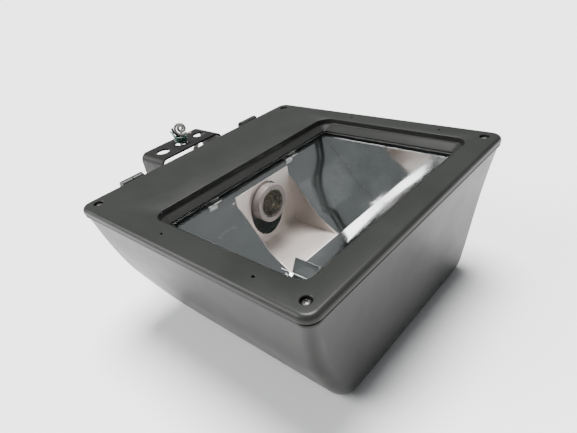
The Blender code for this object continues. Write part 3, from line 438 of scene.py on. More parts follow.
def laminations():
    """A stack of varnished steel sheets, seen as fine lines across the core."""
    finish = Finish("laminations", 0.42, 0.55)
    finish.colour(finish.noise(40, 5), 0.3, 0.7, (0.055, 0.040, 0.030), (0.14, 0.11, 0.085))
    finish.bump(finish.bands(320, "Y"), 0.00025, 0.8)
    finish.vary("Roughness", finish.noise(80, 4), 0.3, 0.7, 0.28, 0.55)
    return finish.material


def coil_wrap():
    """Varnished paper tape over a wound coil."""
    finish = Finish("coil_wrap", 0.40, Coat_Weight=0.3, Coat_Roughness=0.25)
    finish.colour(finish.noise(30, 5), 0.3, 0.7, (0.24, 0.090, 0.030), (0.46, 0.20, 0.070))
    finish.bump(finish.bands(110, "Z", 1.5), 0.0004, 0.5)
    finish.bump(finish.noise(400, 3), 0.00010, 0.5)
    return finish.material


def drawn_aluminium():
    finish = Finish("drawn_aluminium", 0.30, 1.0)
    finish.colour(finish.noise(50, 4, (1, 0.2, 1)), 0.3, 0.7, (0.60, 0.60, 0.61), (0.76, 0.76, 0.77))
    finish.vary("Roughness", finish.noise(200, 4, (1, 0.05, 1)), 0.3, 0.7, 0.22, 0.40)
    finish.bump(finish.noise(900, 2, (1, 0.04, 1)), 0.00003, 0.5)
    return finish.material


def moulded(name, low, high, roughness=0.45):
    """Plastic, rubber or lacquer with a fine grain."""
    finish = Finish(name, roughness)
    finish.colour(finish.noise(60, 4), 0.3, 0.7, low, high)
    finish.vary("Roughness", finish.noise(110, 4), 0.3, 0.7, roughness - 0.10, roughness + 0.12)
    finish.bump(finish.noise(900, 2), 0.00005, 0.5)
    return finish.material


def copper():
    finish = Finish("copper", 0.30, 1.0)
    finish.colour(finish.noise(500, 3), 0.3, 0.7, (0.62, 0.30, 0.17), (0.80, 0.46, 0.30))
    finish.bump(finish.bands(900, "DIAGONAL"), 0.0001, 0.7)
    return finish.material


# --- shapes ------------------------------------------------------------------------------------------


def new_piece(name, corners, faces, finish):
    mesh = bpy.data.meshes.new(name)
    shape = bmesh.new()
    points = [shape.verts.new(corner) for corner in corners]
    for face in faces:
        shape.faces.new([points[index] for index in face])
    bmesh.ops.recalc_face_normals(shape, faces=shape.faces)
    shape.to_mesh(mesh)
    shape.free()
    piece = bpy.data.objects.new(name, mesh)
    bpy.context.scene.collection.objects.link(piece)
    if finish:
        mesh.materials.append(finish)
    return piece


def loft(name, rings, finish=None, looped=False):
    """A solid through rings of equal size: with flat ends, or looped so that the last meets the first."""
    size = len(rings[0])
    corners = [corner for ring in rings for corner in ring]
    count = len(rings)
    faces = [] if looped else [tuple(range(size)), tuple(range(len(corners) - size, len(corners)))]
    for level in range(count if looped else count - 1):
        here = level * size
        there = (level + 1) % count * size
        for index in range(size):
            after = (index + 1) % size
            faces.append((here + index, here + after, there + after, there + index))
    return new_piece(name, corners, faces, finish)


def rounded_rectangle(low_x, high_x, half_y, radius, steps=12):
    outline = []
    centres = (
        (high_x - radius, half_y - radius),
        (low_x + radius, half_y - radius),
        (low_x + radius, radius - half_y),
        (high_x - radius, radius - half_y),
    )
    for quarter, (x, y) in enumerate(centres):
        for step in range(steps + 1):
            angle = (quarter + step / steps) * math.pi / 2
            outline.append((x + radius * math.cos(angle), y + radius * math.sin(angle)))
    return outline


def grown(rectangle, reach):
    low_x, high_x, half_y, radius = rectangle
    return (low_x - reach, high_x + reach, half_y + reach, radius + reach)


def level_ring(outline, depth):
    return [(x, y, height(depth)) for x, y in outline]


def profile_along_y(name, outline, low_y, high_y):
    rings = [[(x, y, height(depth)) for x, depth in outline] for y in (low_y, high_y)]
    return loft(name, rings)


def block(name, x, y, depths):
    outline = ((x[0], y[0]), (x[1], y[0]), (x[1], y[1]), (x[0], y[1]))
    return loft(name, [level_ring(outline, depth) for depth in depths])


def turned(name, start, direction, profile, finish=None, sides=32, looped=False):
    """A solid of revolution: the profile gives radius and distance along the direction from start."""
    turn = Vector((0, 0, 1)).rotation_difference(Vector(direction)).to_matrix()
    rings = []
    for radius, distance in profile:
        ring = []
        for index in range(sides):
            angle = 2 * math.pi * index / sides
            local = Vector((radius * math.cos(angle), radius * math.sin(angle), distance))
            ring.append(Vector(start) + turn @ local)
        rings.append(ring)
    return loft(name, rings, finish, looped)


def rod(name, start, direction, radius, length, finish=None, sides=32):
    return turned(name, start, direction, ((radius, 0.0), (radius, length)), finish, sides)


def boolean(target, tool, operation):
    modifier = target.modifiers.new(operation, "BOOLEAN")
    modifier.operation = operation
    modifier.object = tool


def cut(target, *tools):
    for tool in tools:
        boolean(target, tool, "DIFFERENCE")


def join(target, *tools):
    for tool in tools:
        boolean(target, tool, "UNION")


def settle(piece):
    """Applies the piece's modifiers, removes the tools they used and sets its smooth shading."""
    tools = [modifier.object for modifier in piece.modifiers if modifier.type == "BOOLEAN"]
    bpy.context.view_layer.update()
    graph = bpy.context.evaluated_depsgraph_get()
    mesh = bpy.data.meshes.new_from_object(piece.evaluated_get(graph))
    piece.modifiers.clear()
    piece.data = mesh
    for tool in tools:
        bpy.data.objects.remove(tool, do_unlink=True)
    mesh.shade_smooth()
    mesh.set_sharp_from_angle(angle=SHARP_ANGLE)


def soften(piece, width):
    """Small rounded edges, which catch the light as real ones do."""
    weld = piece.modifiers.new("weld", "WELD")
    weld.merge_threshold = WELD_DISTANCE
    bevel = piece.modifiers.new("edges", "BEVEL")
    bevel.width = width
    bevel.segments = SOFT_SEGMENTS
    bevel.limit_method = "ANGLE"
    bevel.angle_limit = SOFT_ANGLE
    bevel.use_clamp_overlap = True
    normals = piece.modifiers.new("normals", "WEIGHTED_NORMAL")
    normals.keep_sharp = False


def smooth_route(route, spacing):
    """Points read from a smooth curve through the route, about this far apart."""
    knots = [Vector(place) for place in route]
    knots = [2 * knots[0] - knots[1]] + knots + [2 * knots[-1] - knots[-2]]
    fine = []
    steps = 16
    for before, start, end, after in zip(knots, knots[1:], knots[2:], knots[3:]):
        for step in range(steps):
            t = step / steps
            fine.append(
                0.5
                * (
                    2 * start
                    + (end - before) * t
                    + (2 * before - 5 * start + 4 * end - after) * t**2
                    + (3 * start - before - 3 * end + after) * t**3
                )
            )
    fine.append(knots[-2])
    length = sum((after - here).length for here, after in zip(fine, fine[1:]))
    count = max(2, round(length / spacing))
    points = [fine[0]]
    walked = 0.0
    for here, after in zip(fine, fine[1:]):
        step = (after - here).length
        while len(points) < count and walked + step >= length * len(points) / count:
            share = (length * len(points) / count - walked) / step
            points.append(here.lerp(after, share))
        walked += step
    points.append(fine[-1])
    return points


def tube_curve(name, points, radius, finish):
    curve = bpy.data.curves.new(name, "CURVE")
    curve.dimensions = "3D"
    curve.bevel_depth = radius
    curve.bevel_resolution = 5
    curve.use_fill_caps = True
    spline = curve.splines.new("POLY")
    spline.points.add(len(points) - 1)
    for point, place in zip(spline.points, points):
        point.co = (*place, 1.0)
    spline.use_smooth = True
    curve.materials.append(finish)
    piece = bpy.data.objects.new(name, curve)
    bpy.context.scene.collection.objects.link(piece)
    return piece


def hand_over(piece, body, slot, *nodes):
    """The piece stands for these nodes and rides on their body; the slot argument is not used."""
    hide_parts(*nodes)
    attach(piece, body)


# --- cord and leads ----------------------------------------------------------------------------------


def cord_way():
    return Vector((-1, 0, 1)).normalized()


def cord_way_point(distance):
    return Vector((PIVOT_X, CORD_Y, height(PIVOT_DEPTH))) + cord_way() * distance


def add_supply_cord(finish):
    bow = (
        (PIVOT_X - 0.0322, 0.0402, 0.0512),
        (PIVOT_X - 0.0345, 0.0415, 0.0435),
        (PIVOT_X - 0.0330, 0.0442, 0.0360),
        (PIVOT_X - 0.0280, 0.0462, 0.0290),
        (PIVOT_X - 0.0215, 0.0420, 0.0222),
        (PIVOT_X - 0.0160, 0.0335, 0.0182),
        (PIVOT_X - 0.0110, 0.0235, 0.0163),
        (PIVOT_X - 0.0068, 0.0140, 0.0150),
        (PIVOT_X - 0.0034, 0.0062, 0.0132),
        (PIVOT_X - 0.0010, 0.0012, 0.0098),
        (PIVOT_X - 0.0003, 0.0000, 0.0056),
    )
    route = [cord_way_point(0.012), cord_way_point(0.024), cord_way_point(0.036)]
    route += [(x, y, height(depth)) for x, y, depth in bow]
    curve = tube_curve("jacketed_cord", smooth_route(route, CORD_RADIUS), CORD_RADIUS, finish)
    graph = bpy.context.evaluated_depsgraph_get()
    mesh = bpy.data.meshes.new_from_object(curve.evaluated_get(graph))
    bpy.data.objects.remove(curve, do_unlink=True)
    cord = bpy.data.objects.new("jacketed_cord", mesh)
    bpy.context.scene.collection.objects.link(cord)
    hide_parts("supply_cord")
    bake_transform(cord)


def bundle_place(across, toward, up):
    """A point of the lead bundle: across runs to +X+Y, toward runs to +X-Y, up from the yoke's face."""
    along = Vector((0.7520, 0.6590, 0))
    side = Vector((0.6590, -0.7520, 0))
    return Vector((PIVOT_X, 0, FACE_Z)) + along * across + side * toward + Vector((0, 0, up))


def white_route():
    """Up the back of the hole, then a coil that opens out from its middle and ends at the far side."""
    route = [
        (0.0030, 0.0012, -0.0022),
        (0.0031, 0.0004, 0.0030),
        (0.0028, -0.0018, 0.0080),
        (0.0026, -0.0034, 0.0125),
        (0.0030, -0.0068, 0.0168),
        (0.0040, -0.0098, 0.0200),
        (0.0058, -0.0100, 0.0222),
    ]
    for step in range(LOOP_STEPS + 1):
        share = step / LOOP_STEPS
        angle = 2 * math.pi * LOOP_TURNS * share
        radius = LOOP_RADII[0] + (LOOP_RADII[1] - LOOP_RADII[0]) * share
        across = LOOP_ACROSS + radius * math.cos(angle)
        toward = -0.0076 + 0.0088 * share**0.6
        route.append((across, toward, LOOP_UP + radius * math.sin(angle)))
    return route + [(0.0146, 0.0006, 0.0142), (0.0176, 0.0008, 0.0152), (0.0198, 0.0010, 0.0156)]


def black_route():
    return [
        (-0.0005, 0.0022, -0.0022),
        (-0.0010, 0.0030, 0.0030),
        (-0.0016, 0.0036, 0.0080),
        (-0.0022, 0.0044, 0.0145),
        (-0.0040, 0.0064, 0.0190),
        (-0.0058, 0.0074, 0.0235),
        (-0.0068, 0.0072, 0.0285),
    ]


def green_route():
    """Spirals out of the hole, then winds round the other leads and ends at the near side."""
    route = []
    for step in range(WRAP_STEPS + 1):
        turned_by = WRAP_TURNS * step / WRAP_STEPS
        out = min(1.0, turned_by / WRAP_OUT)
        out = out * out * (3 - 2 * out)
        angle = WRAP_FIRST + 2 * math.pi * turned_by
        radius = WRAP_RADII[0] + (WRAP_RADII[1] - WRAP_RADII[0]) * out
        across = WRAP_CENTRE + radius * math.cos(angle)
        rise = WRAP_RISES[0] * min(1.0, turned_by / WRAP_ENTRY)
        rise += WRAP_RISES[1] * max(0.0, (turned_by - WRAP_ENTRY) / (WRAP_TURNS - WRAP_ENTRY))
        route.append((across, radius * math.sin(angle), WRAP_START + rise - WRAP_TILT * across * out))
    return route + [(-0.0118, -0.0050, 0.0160), (-0.0150, -0.0080, 0.0176)]


def add_lead(colour, route, radius, finish, bare):
    """One insulated lead, with its copper strands just showing at the cut end."""
    name = f"{colour}_wire"
    points = smooth_route([bundle_place(*point) for point in route], radius)
    lead = tube_curve(name, points, radius, finish)
    hand_over(lead, "yoke", f"lead_{colour}", f"{colour}_lead")
    way = (points[-1] - points[-2]).normalized()
    core = rod(f"{name}_core", points[-1] - way * 0.001, way, 0.62 * radius, 0.0012, bare, 16)
    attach(core, "yoke")


def add_leads():
    bare = copper()
    white = moulded("white_insulation", (0.30, 0.29, 0.275), (0.42, 0.41, 0.39), 0.42)
    black = moulded("black_insulation", (0.010, 0.010, 0.010), (0.022, 0.022, 0.022), 0.34)
    green = moulded("green_insulation", (0.020, 0.060, 0.042), (0.036, 0.092, 0.066), 0.34)
    add_lead("white", white_route(), WHITE_RADIUS, white, bare)
    add_lead("black", black_route(), LEAD_RADIUS, black, bare)
    add_lead("green", green_route(), LEAD_RADIUS, green, bare)
    return white


# --- castings ----------------------------------------------------------------------------------------


def hinge_lugs(name, span_y, web_outline):
    """The round knuckles or ears and their webs, on both sides."""
    tools = []
    chamfer = 0.0005
    web_inset = 0.0002
    for side in (-1, 1):
        low, high = sorted((side * span_y[0], side * span_y[1]))
        start = (HINGE_X, low, height(HINGE_DEPTH))
        profile = (
            (KNUCKLE_RADIUS - chamfer, 0.0),
            (KNUCKLE_RADIUS, chamfer),
            (KNUCKLE_RADIUS, high - low - chamfer),
            (KNUCKLE_RADIUS - chamfer, high - low),
        )
        tools.append(turned(f"{name}_barrel", start, (0, 1, 0), profile, sides=28))
        tools.append(profile_along_y(f"{name}_web", web_outline, low + web_inset, high - web_inset))
    return tools


def door_rings():
    """The casting's section, walked round once: face edge, bead, groove, flange, ledge and window lip."""
    outer = (-DOOR_HALF_X, DOOR_HALF_X, DOOR_HALF_Y, DOOR_RADIUS)
    levels = []
    bead_steps = 8
    for step in range(bead_steps + 1):
        angle = step * math.pi / (2 * bead_steps)
        levels.append((grown(outer, -BEAD * (1 - math.sin(angle))), BEAD * (1 - math.cos(angle))))
    levels.append((outer, GROOVE_DEPTHS[0] - 0.0008))
    levels.append((grown(outer, -0.0008), GROOVE_DEPTHS[0]))
    levels.append((grown(outer, -GROOVE_INSET), GROOVE_DEPTHS[0]))
    levels.append((grown(outer, -GROOVE_INSET), GROOVE_DEPTHS[1]))
    levels.append((grown(outer, -FLANGE_INSET - 0.0004), GROOVE_DEPTHS[1]))
    levels.append((grown(outer, -FLANGE_INSET), GROOVE_DEPTHS[1] + 0.0004))
    levels.append((grown(outer, -FLANGE_INSET), DOOR_DEPTH))
    levels.append((grown(RECESS, LEDGE_WALL), DOOR_DEPTH))
    levels.append((grown(RECESS, LEDGE_WALL), LEDGE_BOTTOM))
    levels.append((OPENING, LEDGE_BOTTOM))
    levels.append((OPENING, OPENING_DEPTH + 0.0004))
    levels.append((grown(OPENING, 0.0006), OPENING_DEPTH - 0.0002))
    levels.append((grown(RECESS, -0.0015), RECESS_WALL + 0.0007))
    levels.append((grown(RECESS, -0.0004), RECESS_WALL - 0.0002))
    levels.append((RECESS, RECESS_WALL - 0.0012))
    levels.append((RECESS, LIP))
    levels.append((grown(RECESS, 0.3 * LIP), 0.3 * LIP))
    levels.append((grown(RECESS, LIP), 0.0))
    return [level_ring(rounded_rectangle(*rectangle), depth) for rectangle, depth in levels]


def pin_hole(side):
    start = (HINGE_X, side * PIN_HOLE_Y, height(HINGE_DEPTH))
    return rod("pin_way", start, (0, side, 0), PIN_HOLE_RADIUS, PIN_HOLE_LENGTH, sides=20)


def counterbore(x, y):
    radius = COUNTERBORE_RADIUS
    profile = (
        (SCREW_WAY_RADIUS, -0.0160),
        (SCREW_WAY_RADIUS, -COUNTERBORE_DEPTH),
        (radius, -COUNTERBORE_DEPTH),
        (radius, -COUNTERBORE_CHAMFER),
        (radius + COUNTERBORE_CHAMFER, 0.0),
        (radius + COUNTERBORE_CHAMFER, 0.002),
    )
    return turned("counterbore", (x, y, FACE_Z), (0, 0, 1), profile, sides=36)


def accessory_hole(x, y):
    mouth = ACCESSORY_RADIUS + 0.0006
    profile = ((ACCESSORY_RADIUS, -0.0100), (ACCESSORY_RADIUS, -0.0006), (mouth, 0.0), (mouth, 0.002))
    return turned("accessory_hole", (x, y, FACE_Z), (0, 0, 1), profile, sides=20)


def add_door_casting(finish):
    door = loft("door_casting", door_rings(), finish, looped=True)
    web = (
        (HINGE_X - 0.0020, 0.0038),
        (-0.1930, 0.0038),
        (-0.1930, 0.0120),
        (HINGE_X - 0.0020, 0.0120),
    )
    join(door, *hinge_lugs("door_knuckle", KNUCKLE_Y, web))
    cut(door, block("gear_pocket", *GEAR_POCKET))
    for side in (-1, 1):
        ear_y = sorted((side * (EAR_Y[0] - EAR_NOTCH_PLAY[0]), side * (EAR_Y[1] + EAR_NOTCH_PLAY[1])))
        cut(door, block("ear_notch", EAR_NOTCH_X, ear_y, EAR_NOTCH_DEPTHS), pin_hole(side))
        cut(door, *[accessory_hole(x, side * ACCESSORY_Y) for x in ACCESSORY_X])
    cut(door, *[counterbore(x, y) for x, y in SCREWS])
    settle(door)
    hand_over(door, "door", "bronze_powder_coat", "door_frame")


def eased_sections():
    """The sections with a smooth curve between them."""
    eased = []
    steps = 4
    last = len(HOUSING_SECTIONS) - 1
    for index in range(last):
        before = HOUSING_SECTIONS[max(index - 1, 0)]
        start = HOUSING_SECTIONS[index]
        end = HOUSING_SECTIONS[index + 1]
        after = HOUSING_SECTIONS[min(index + 2, last)]
        for step in range(steps):
            t = step / steps
            depth = start[0] + (end[0] - start[0]) * t
            values = [depth]
            for part in range(1, 5):
                slope_in = (end[part] - before[part]) / (end[0] - before[0])
                slope_out = (after[part] - start[part]) / (after[0] - start[0])
                span = end[0] - start[0]
                values.append(
                    (2 * t**3 - 3 * t**2 + 1) * start[part]
                    + (t**3 - 2 * t**2 + t) * span * slope_in
                    + (3 * t**2 - 2 * t**3) * end[part]
                    + (t**3 - t**2) * span * slope_out
                )
            eased.append(tuple(values))
    return eased + [HOUSING_SECTIONS[-1]]


def housing_ring(section, inset=0.0, depth=None):
    own_depth, far, near, half_y, radius = section
    outline = rounded_rectangle(inset - near, far - inset, half_y - inset, radius - inset)
    return level_ring(outline, own_depth if depth is None else depth)


def rim_ring(reach, depth):
    _, far, near, half_y, _ = HOUSING_SECTIONS[0]
    inset = RIM_WIDTH + reach
    outline = rounded_rectangle(inset - near, far - inset, half_y - inset, RIM_RADIUS - reach)
    return level_ring(outline, depth)


def housing_cavity():
    """The room inside the wall, with the rim flange left standing at its mouth."""
    sections = eased_sections()
    top = sections[0]
    rings = [
        rim_ring(0.0006, RIM_TOP - 0.005),
        rim_ring(0.0, RIM_TOP + 0.0005),
        rim_ring(0.0, RIM_BOTTOM),
        housing_ring(top, WALL, RIM_BOTTOM),
    ]
    rings += [housing_ring(part, WALL, part[0] * (1 - WALL / FACE_Z)) for part in sections[3:]]
    return loft("cavity", rings)


def neck():
    start = (PIVOT_X, -HUB_HALF_Y, height(PIVOT_DEPTH))
    chamfer = 0.0015
    hub_profile = (
        (HUB_RADIUS - chamfer, 0.0),
        (HUB_RADIUS, chamfer),
        (HUB_RADIUS, 2 * HUB_HALF_Y - chamfer),
        (HUB_RADIUS - chamfer, 2 * HUB_HALF_Y),
    )
    hub = turned("neck_hub", start, (0, 1, 0), hub_profile, sides=64)
    web_outline = (
        (PIVOT_X, PIVOT_DEPTH - 0.019),
        (-0.200, PIVOT_DEPTH - 0.026),
        (-0.150, PIVOT_DEPTH - 0.030),
        (-0.150, PIVOT_DEPTH + 0.030),
        (-0.200, PIVOT_DEPTH + 0.024),
        (PIVOT_X, PIVOT_DEPTH + 0.019),
    )
    web = profile_along_y("neck_web", web_outline, -0.040, 0.040)
    return hub, web


def housing_posts():
    """Posts under the gear tray and bosses under the reflector's screws."""
    posts = []
    for side in (-1, 1):
        for (x, y), radius, foot in TRAY_POSTS:
            top = TRAY_DEPTH + GAP
            posts.append(rod("post", (x, side * y, height(foot)), (0, 0, 1), radius, foot - top, sides=24))
        boss_y = (side * 0.090 - 0.008, side * 0.090 + 0.008)
        posts.append(block("far_boss", (0.1640, 0.1895), boss_y, BOSS_DEPTHS))
        wall_y = sorted((side * 0.1700, side * 0.1965))
        posts.append(block("side_boss", (-0.028, -0.012), wall_y, BOSS_DEPTHS))
    return posts


def add_housing_casting(finish):
    sections = eased_sections()
    rings = [housing_ring(sections[0], RIM_CHAMFER), housing_ring(sections[0], 0.0, RIM_TOP + RIM_CHAMFER)]
    rings += [housing_ring(part) for part in sections[1:]]
    housing = loft("housing_casting", rings, finish)
    ear_web = (
        (HINGE_X - 0.0045, HINGE_DEPTH + 0.001),
        (HINGE_X + 0.0045, HINGE_DEPTH + 0.001),
        (-0.1950, RIM_TOP + 0.001),
        (-0.1900, RIM_TOP + 0.003),
        (-0.1900, 0.034),
        (-0.1930, 0.034),
    )
    join(housing, *neck(), *hinge_lugs("ear", EAR_Y, ear_web))
    cut(housing, housing_cavity())
    join(housing, *housing_posts())
    down = (0, 0, -1)
    for x, y in SCREWS:
        mouth = 0.0046 if x < 0 else SCREW_HOLE_RADIUS
        profile = ((mouth, -0.002), (mouth, 0.0005), (SCREW_HOLE_RADIUS, 0.008))
        cut(housing, turned("screw_hole", (x, y, height(RIM_TOP)), down, profile, sides=20))
    for side in (-1, 1):
        bolt = (PIVOT_X, side * 0.032, height(PIVOT_DEPTH))
        cut(housing, rod("pivot_hole", bolt, (0, side, 0), PIVOT_HOLE_RADIUS, 0.030), pin_hole(side))
    cut(housing, rod("cord_way_cutter", cord_way_point(0.0095), cord_way(), 0.0048, 0.0245, sides=24))
    settle(housing)
    hand_over(housing, "housing", "bronze_powder_coat", "housing")


# --- yoke, bolts and gland ---------------------------------------------------------------------------


def yoke_outline():
    """The bent bar seen along X: its outside, then its inside on the way back."""
    steps = 12
    tip = PIVOT_DEPTH + YOKE_END_RADIUS + 0.002
    outline = []
    for offset, order in ((0.0, 1), (YOKE_THICKNESS, -1)):
        half = YOKE_HALF_Y - offset
        bend = YOKE_BEND - offset
        side = [(half, tip)]
        for step in range(steps + 1):
            angle = math.pi / 2 * step / steps
            y = half - bend + bend * math.cos(angle)
            side.append((y, offset + bend - bend * math.sin(angle)))
        both = side + [(-y, depth) for y, depth in reversed(side)]
        outline += both[::order]
    return outline


def arm_mask():
    """Side view of the yoke: full width at its back, then a taper to a round end at the pivot."""
    half = YOKE_WIDTH / 2
    above = -0.003
    steps = 24
    outline = [(PIVOT_X - half, above), (PIVOT_X - half, YOKE_STRAIGHT)]
    for step in range(steps + 1):
        angle = math.pi * (1 + step / steps)
        x = PIVOT_X + YOKE_END_RADIUS * math.cos(angle)
        outline.append((x, PIVOT_DEPTH - YOKE_END_RADIUS * math.sin(angle)))
    outline += [(PIVOT_X + half, YOKE_STRAIGHT), (PIVOT_X + half, above)]
    return profile_along_y("arm_mask", outline, -0.080, 0.080)


def add_yoke(finish):
    sides = (PIVOT_X - YOKE_WIDTH / 2, PIVOT_X + YOKE_WIDTH / 2)
    rings = [[(x, y, height(depth)) for y, depth in yoke_outline()] for x in sides]
    yoke = loft("yoke_plate", rings, finish)
    boolean(yoke, arm_mask(), "INTERSECT")
    for side in (-1, 1):
        place = (PIVOT_X, side * SIDE_HOLE_Y, height(0.010))
        cut(yoke, rod("side_hole", place, (0, 0, 1), SIDE_HOLE_RADIUS, 0.020, sides=48))
        pivot = (PIVOT_X, side * 0.050, height(PIVOT_DEPTH))
        cut(yoke, rod("pivot", pivot, (0, side, 0), YOKE_PIVOT_RADIUS, 0.020))
    cut(yoke, rod("hole", (PIVOT_X, 0, height(0.010)), (0, 0, 1), LEAD_HOLE_RADIUS, 0.020, sides=48))
    settle(yoke)
    soften(yoke, 0.0005)
    hand_over(yoke, "yoke", "black_paint", "yoke")


def add_gland(finish):
    """A ribbed cable gland with a tapered mouth."""
    bore, collar, rib, valley = 0.0042, 0.0095, 0.0080, 0.0072
    profile = [(bore, 0.0), (collar, 0.0), (collar, 0.0046), (0.0090, 0.0050), (0.0082, 0.0052)]
    for number in range(3):
        foot = 0.0058 + 0.0020 * number
        profile += [(rib, foot), (rib, foot + 0.0010), (valley, foot + 0.0013), (valley, foot + 0.0018)]
    profile += [(0.0070, 0.0122), (0.0055, 0.0138), (0.0045, 0.0140), (bore, 0.0136)]
    start = cord_way_point(HUB_RADIUS + GAP)
    gland = turned("cable_gland", start, cord_way(), profile, finish, 36, looped=True)
    settle(gland)
    hand_over(gland, "housing", "black_nylon", "strain_relief")


def add_cover_screws(finish):
    """Pan heads with a cross of two slots; the shank carries real thread rings."""
    middle, head, shank, root = 0.0001, 0.0048, 0.0024, 0.0020
    head_side, head_crown, head_steps = 0.0012, 0.0022, 7
    pitch, turns, tip = 0.0009, 9, 0.0145
    slot_reach, slot_half = 0.0030, 0.0005
    slot_depths = (COUNTERBORE_DEPTH - 0.0050, COUNTERBORE_DEPTH - 0.0018)
    for number, (x, y) in enumerate(SCREWS, 1):
        profile = [(middle, -head_side - head_crown)]
        for step in range(1, head_steps + 1):
            angle = math.pi / 2 * step / head_steps
            profile.append((head * math.sin(angle), -head_side - head_crown * math.cos(angle)))
        profile += [(head, 0.0), (shank, 0.0), (shank, 0.0060)]
        for turn in range(turns):
            start = 0.0062 + pitch * turn
            profile += [(root, start), (shank, start + pitch / 2)]
        profile += [(root - 0.0001, tip), (middle, tip)]
        seat = (x, y, height(COUNTERBORE_DEPTH - GAP))
        screw = turned(f"cover_screw_{number}", seat, (0, 0, -1), profile, finish, 32)
        for reach_x, reach_y in ((slot_reach, slot_half), (slot_half, slot_reach)):
            spans = ((x - reach_x, x + reach_x), (y - reach_y, y + reach_y))
            cut(screw, block("slot", *spans, slot_depths))
        settle(screw)
        hand_over(screw, f"door_screw_{number}", "stainless_steel", f"door_screw_{number}")


# --- lampholder --------------------------------------------------------------------------------------


def add_porcelain(finish):
    length = SOCKET_FRONT_X - SOCKET_BACK_X
    front = 0.0024
    front_steps = 6
    profile = [(SOCKET_BORE_RADIUS, 0.0010), (SOCKET_BORE_RADIUS + 0.0008, 0.0)]
    for step in range(front_steps + 1):
        angle = math.pi / 2 * step / front_steps
        across = SOCKET_RADIUS - front + front * math.sin(angle)
        profile.append((across, front - front * math.cos(angle)))
    profile += [
        (SOCKET_RADIUS, 0.0120),
        (SOCKET_RADIUS - 0.0008, 0.0126),
        (SOCKET_RADIUS - 0.0008, 0.0136),
        (SOCKET_RADIUS, 0.0142),
        (SOCKET_RADIUS, 0.0250),
        (SOCKET_RADIUS - 0.0030, 0.0290),
        (SOCKET_RADIUS - 0.0035, length - 0.001),
        (SOCKET_RADIUS - 0.0045, length),
        (0.0100, length),
        (0.0100, length - 0.0010),
        (0.0043, length - 0.0010),
        (0.0043, SOCKET_BORE_DEPTH),
        (SOCKET_BORE_RADIUS, SOCKET_BORE_DEPTH),
    ]
    start = (SOCKET_FRONT_X, 0, height(SOCKET_DEPTH))
    body = turned("porcelain_body", start, (-1, 0, 0), profile, finish, 72, looped=True)
    for side in (-1, 1):
        deep = (SOCKET_BACK_X - 0.001, side * 0.0150, height(SOCKET_DEPTH))
        cut(body, rod("screw_way", deep, (1, 0, 0), 0.0020, 0.0065, sides=20))
    settle(body)
    hand_over(body, "housing", "porcelain", "lampholder_body")


def add_threaded_shell(finish):
    """The screw shell: a thin wall whose rolled thread rises by one pitch each turn."""
    sides = 72
    levels = 64
    plain_end = 0.003
    start = Vector((SOCKET_FRONT_X - 0.0020, 0, height(SOCKET_DEPTH)))
    corners = []
    for wall, order in ((0.0, 1), (SHELL_WALL, -1)):
        for level in range(levels + 1)[::order]:
            distance = SHELL_LENGTH * level / levels
            fade = min(1.0, distance / plain_end, (SHELL_LENGTH - distance) / plain_end)
            for index in range(sides):
                angle = 2 * math.pi * index / sides
                wave = math.cos(2 * math.pi * distance / THREAD_PITCH - angle)
                radius = THREAD_RADIUS + THREAD_HEIGHT * wave * fade + wall
                ring_point = Vector((-distance, radius * math.cos(angle), radius * math.sin(angle)))
                corners.append(start + ring_point)
    faces = []
    count = 2 * (levels + 1)
    for level in range(count):
        here = level * sides
        there = (level + 1) % count * sides
        for index in range(sides):
            after = (index + 1) % sides
            faces.append((here + index, here + after, there + after, there + index))
    shell = new_piece("threaded_shell", corners, faces, finish)
    settle(shell)
    hand_over(shell, "housing", "nickel_shell", "lampholder_shell")


# --- finishes for the pieces that keep their CAD shape -----------------------------------------------


def refinish(finish, width, *nodes):
    """Gives these nodes the finish and, where the width isn't zero, rounded edges."""
    for node in nodes:
        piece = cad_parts[node]
        for slot in piece.material_slots:
            slot.material = finish
        if width:
            soften(piece, width)


def numbered(stem, count):
    return [f"{stem}_{number}" for number in range(1, count + 1)]


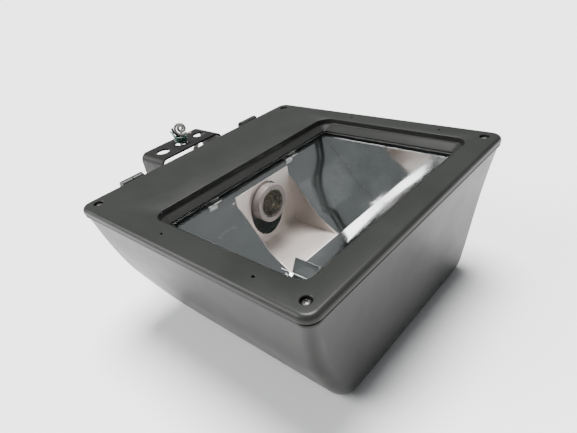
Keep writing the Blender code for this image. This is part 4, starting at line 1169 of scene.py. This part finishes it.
def refinish_cad(white):
    sheet = polished_sheet("reflector_sheet", (0.86, 0.87, 0.87), 0.07)
    satin = polished_sheet("satin_sheet", (0.74, 0.67, 0.63), 0.38)
    refinish(sheet, 0.0003, "reflector_trough", "reflector_end_1", "reflector_end_2", "reflector_kicker")
    refinish(satin, 0.0003, "socket_plate")
    zinc = zinc_plate()
    refinish(zinc, 0.0002, *numbered("glass_clip", 4), *numbered("pivot_bolt", 2), "gear_tray")
    refinish(zinc, 0.0002, "socket_bracket", "capacitor_strap")
    small = numbered("clip_screw", 4) + numbered("tray_screw", 4) + numbered("reflector_screw", 4)
    refinish(zinc, 0.0001, *small, *numbered("lampholder_screw", 2))
    refinish(stainless(), 0.0002, *numbered("hinge_pin", 2))
    refinish(silicone(), 0.0002, "door_gasket", "glass_gasket", *numbered("pivot_washer", 2))
    refinish(nickel(), 0.0002, "centre_contact")
    refinish(clear_glass(), 0.0, "door_glass")
    refinish(laminations(), 0.0004, "ballast_core")
    refinish(coil_wrap(), 0.0010, "ballast_coil")
    refinish(drawn_aluminium(), 0.0006, "capacitor_can")
    potting = moulded("potting", (0.020, 0.020, 0.024), (0.040, 0.040, 0.046))
    refinish(potting, 0.0008, "ignitor_case")
    badge = moulded("badge", (0.21, 0.212, 0.21), (0.27, 0.272, 0.27), 0.36)
    refinish(badge, 0.0003, "blank_badge")
    refinish(white, 0.0, "socket_lead")
    red = moulded("red_insulation", (0.40, 0.03, 0.02), (0.55, 0.06, 0.04), 0.34)
    refinish(red, 0.0, "capacitor_lead")


def main():
    add_camera()
    add_supply_cord(moulded("cord_jacket", (0.010, 0.010, 0.010), (0.020, 0.020, 0.020), 0.55))
    white = add_leads()
    coat = powder_coat()
    add_housing_casting(coat)
    add_door_casting(coat)
    add_yoke(black_paint())
    add_gland(moulded("black_nylon", (0.012, 0.012, 0.012), (0.024, 0.024, 0.024)))
    add_cover_screws(stainless())
    add_porcelain(porcelain())
    add_threaded_shell(nickel())
    refinish_cad(white)
    add_studio()
    add_floor()


main()
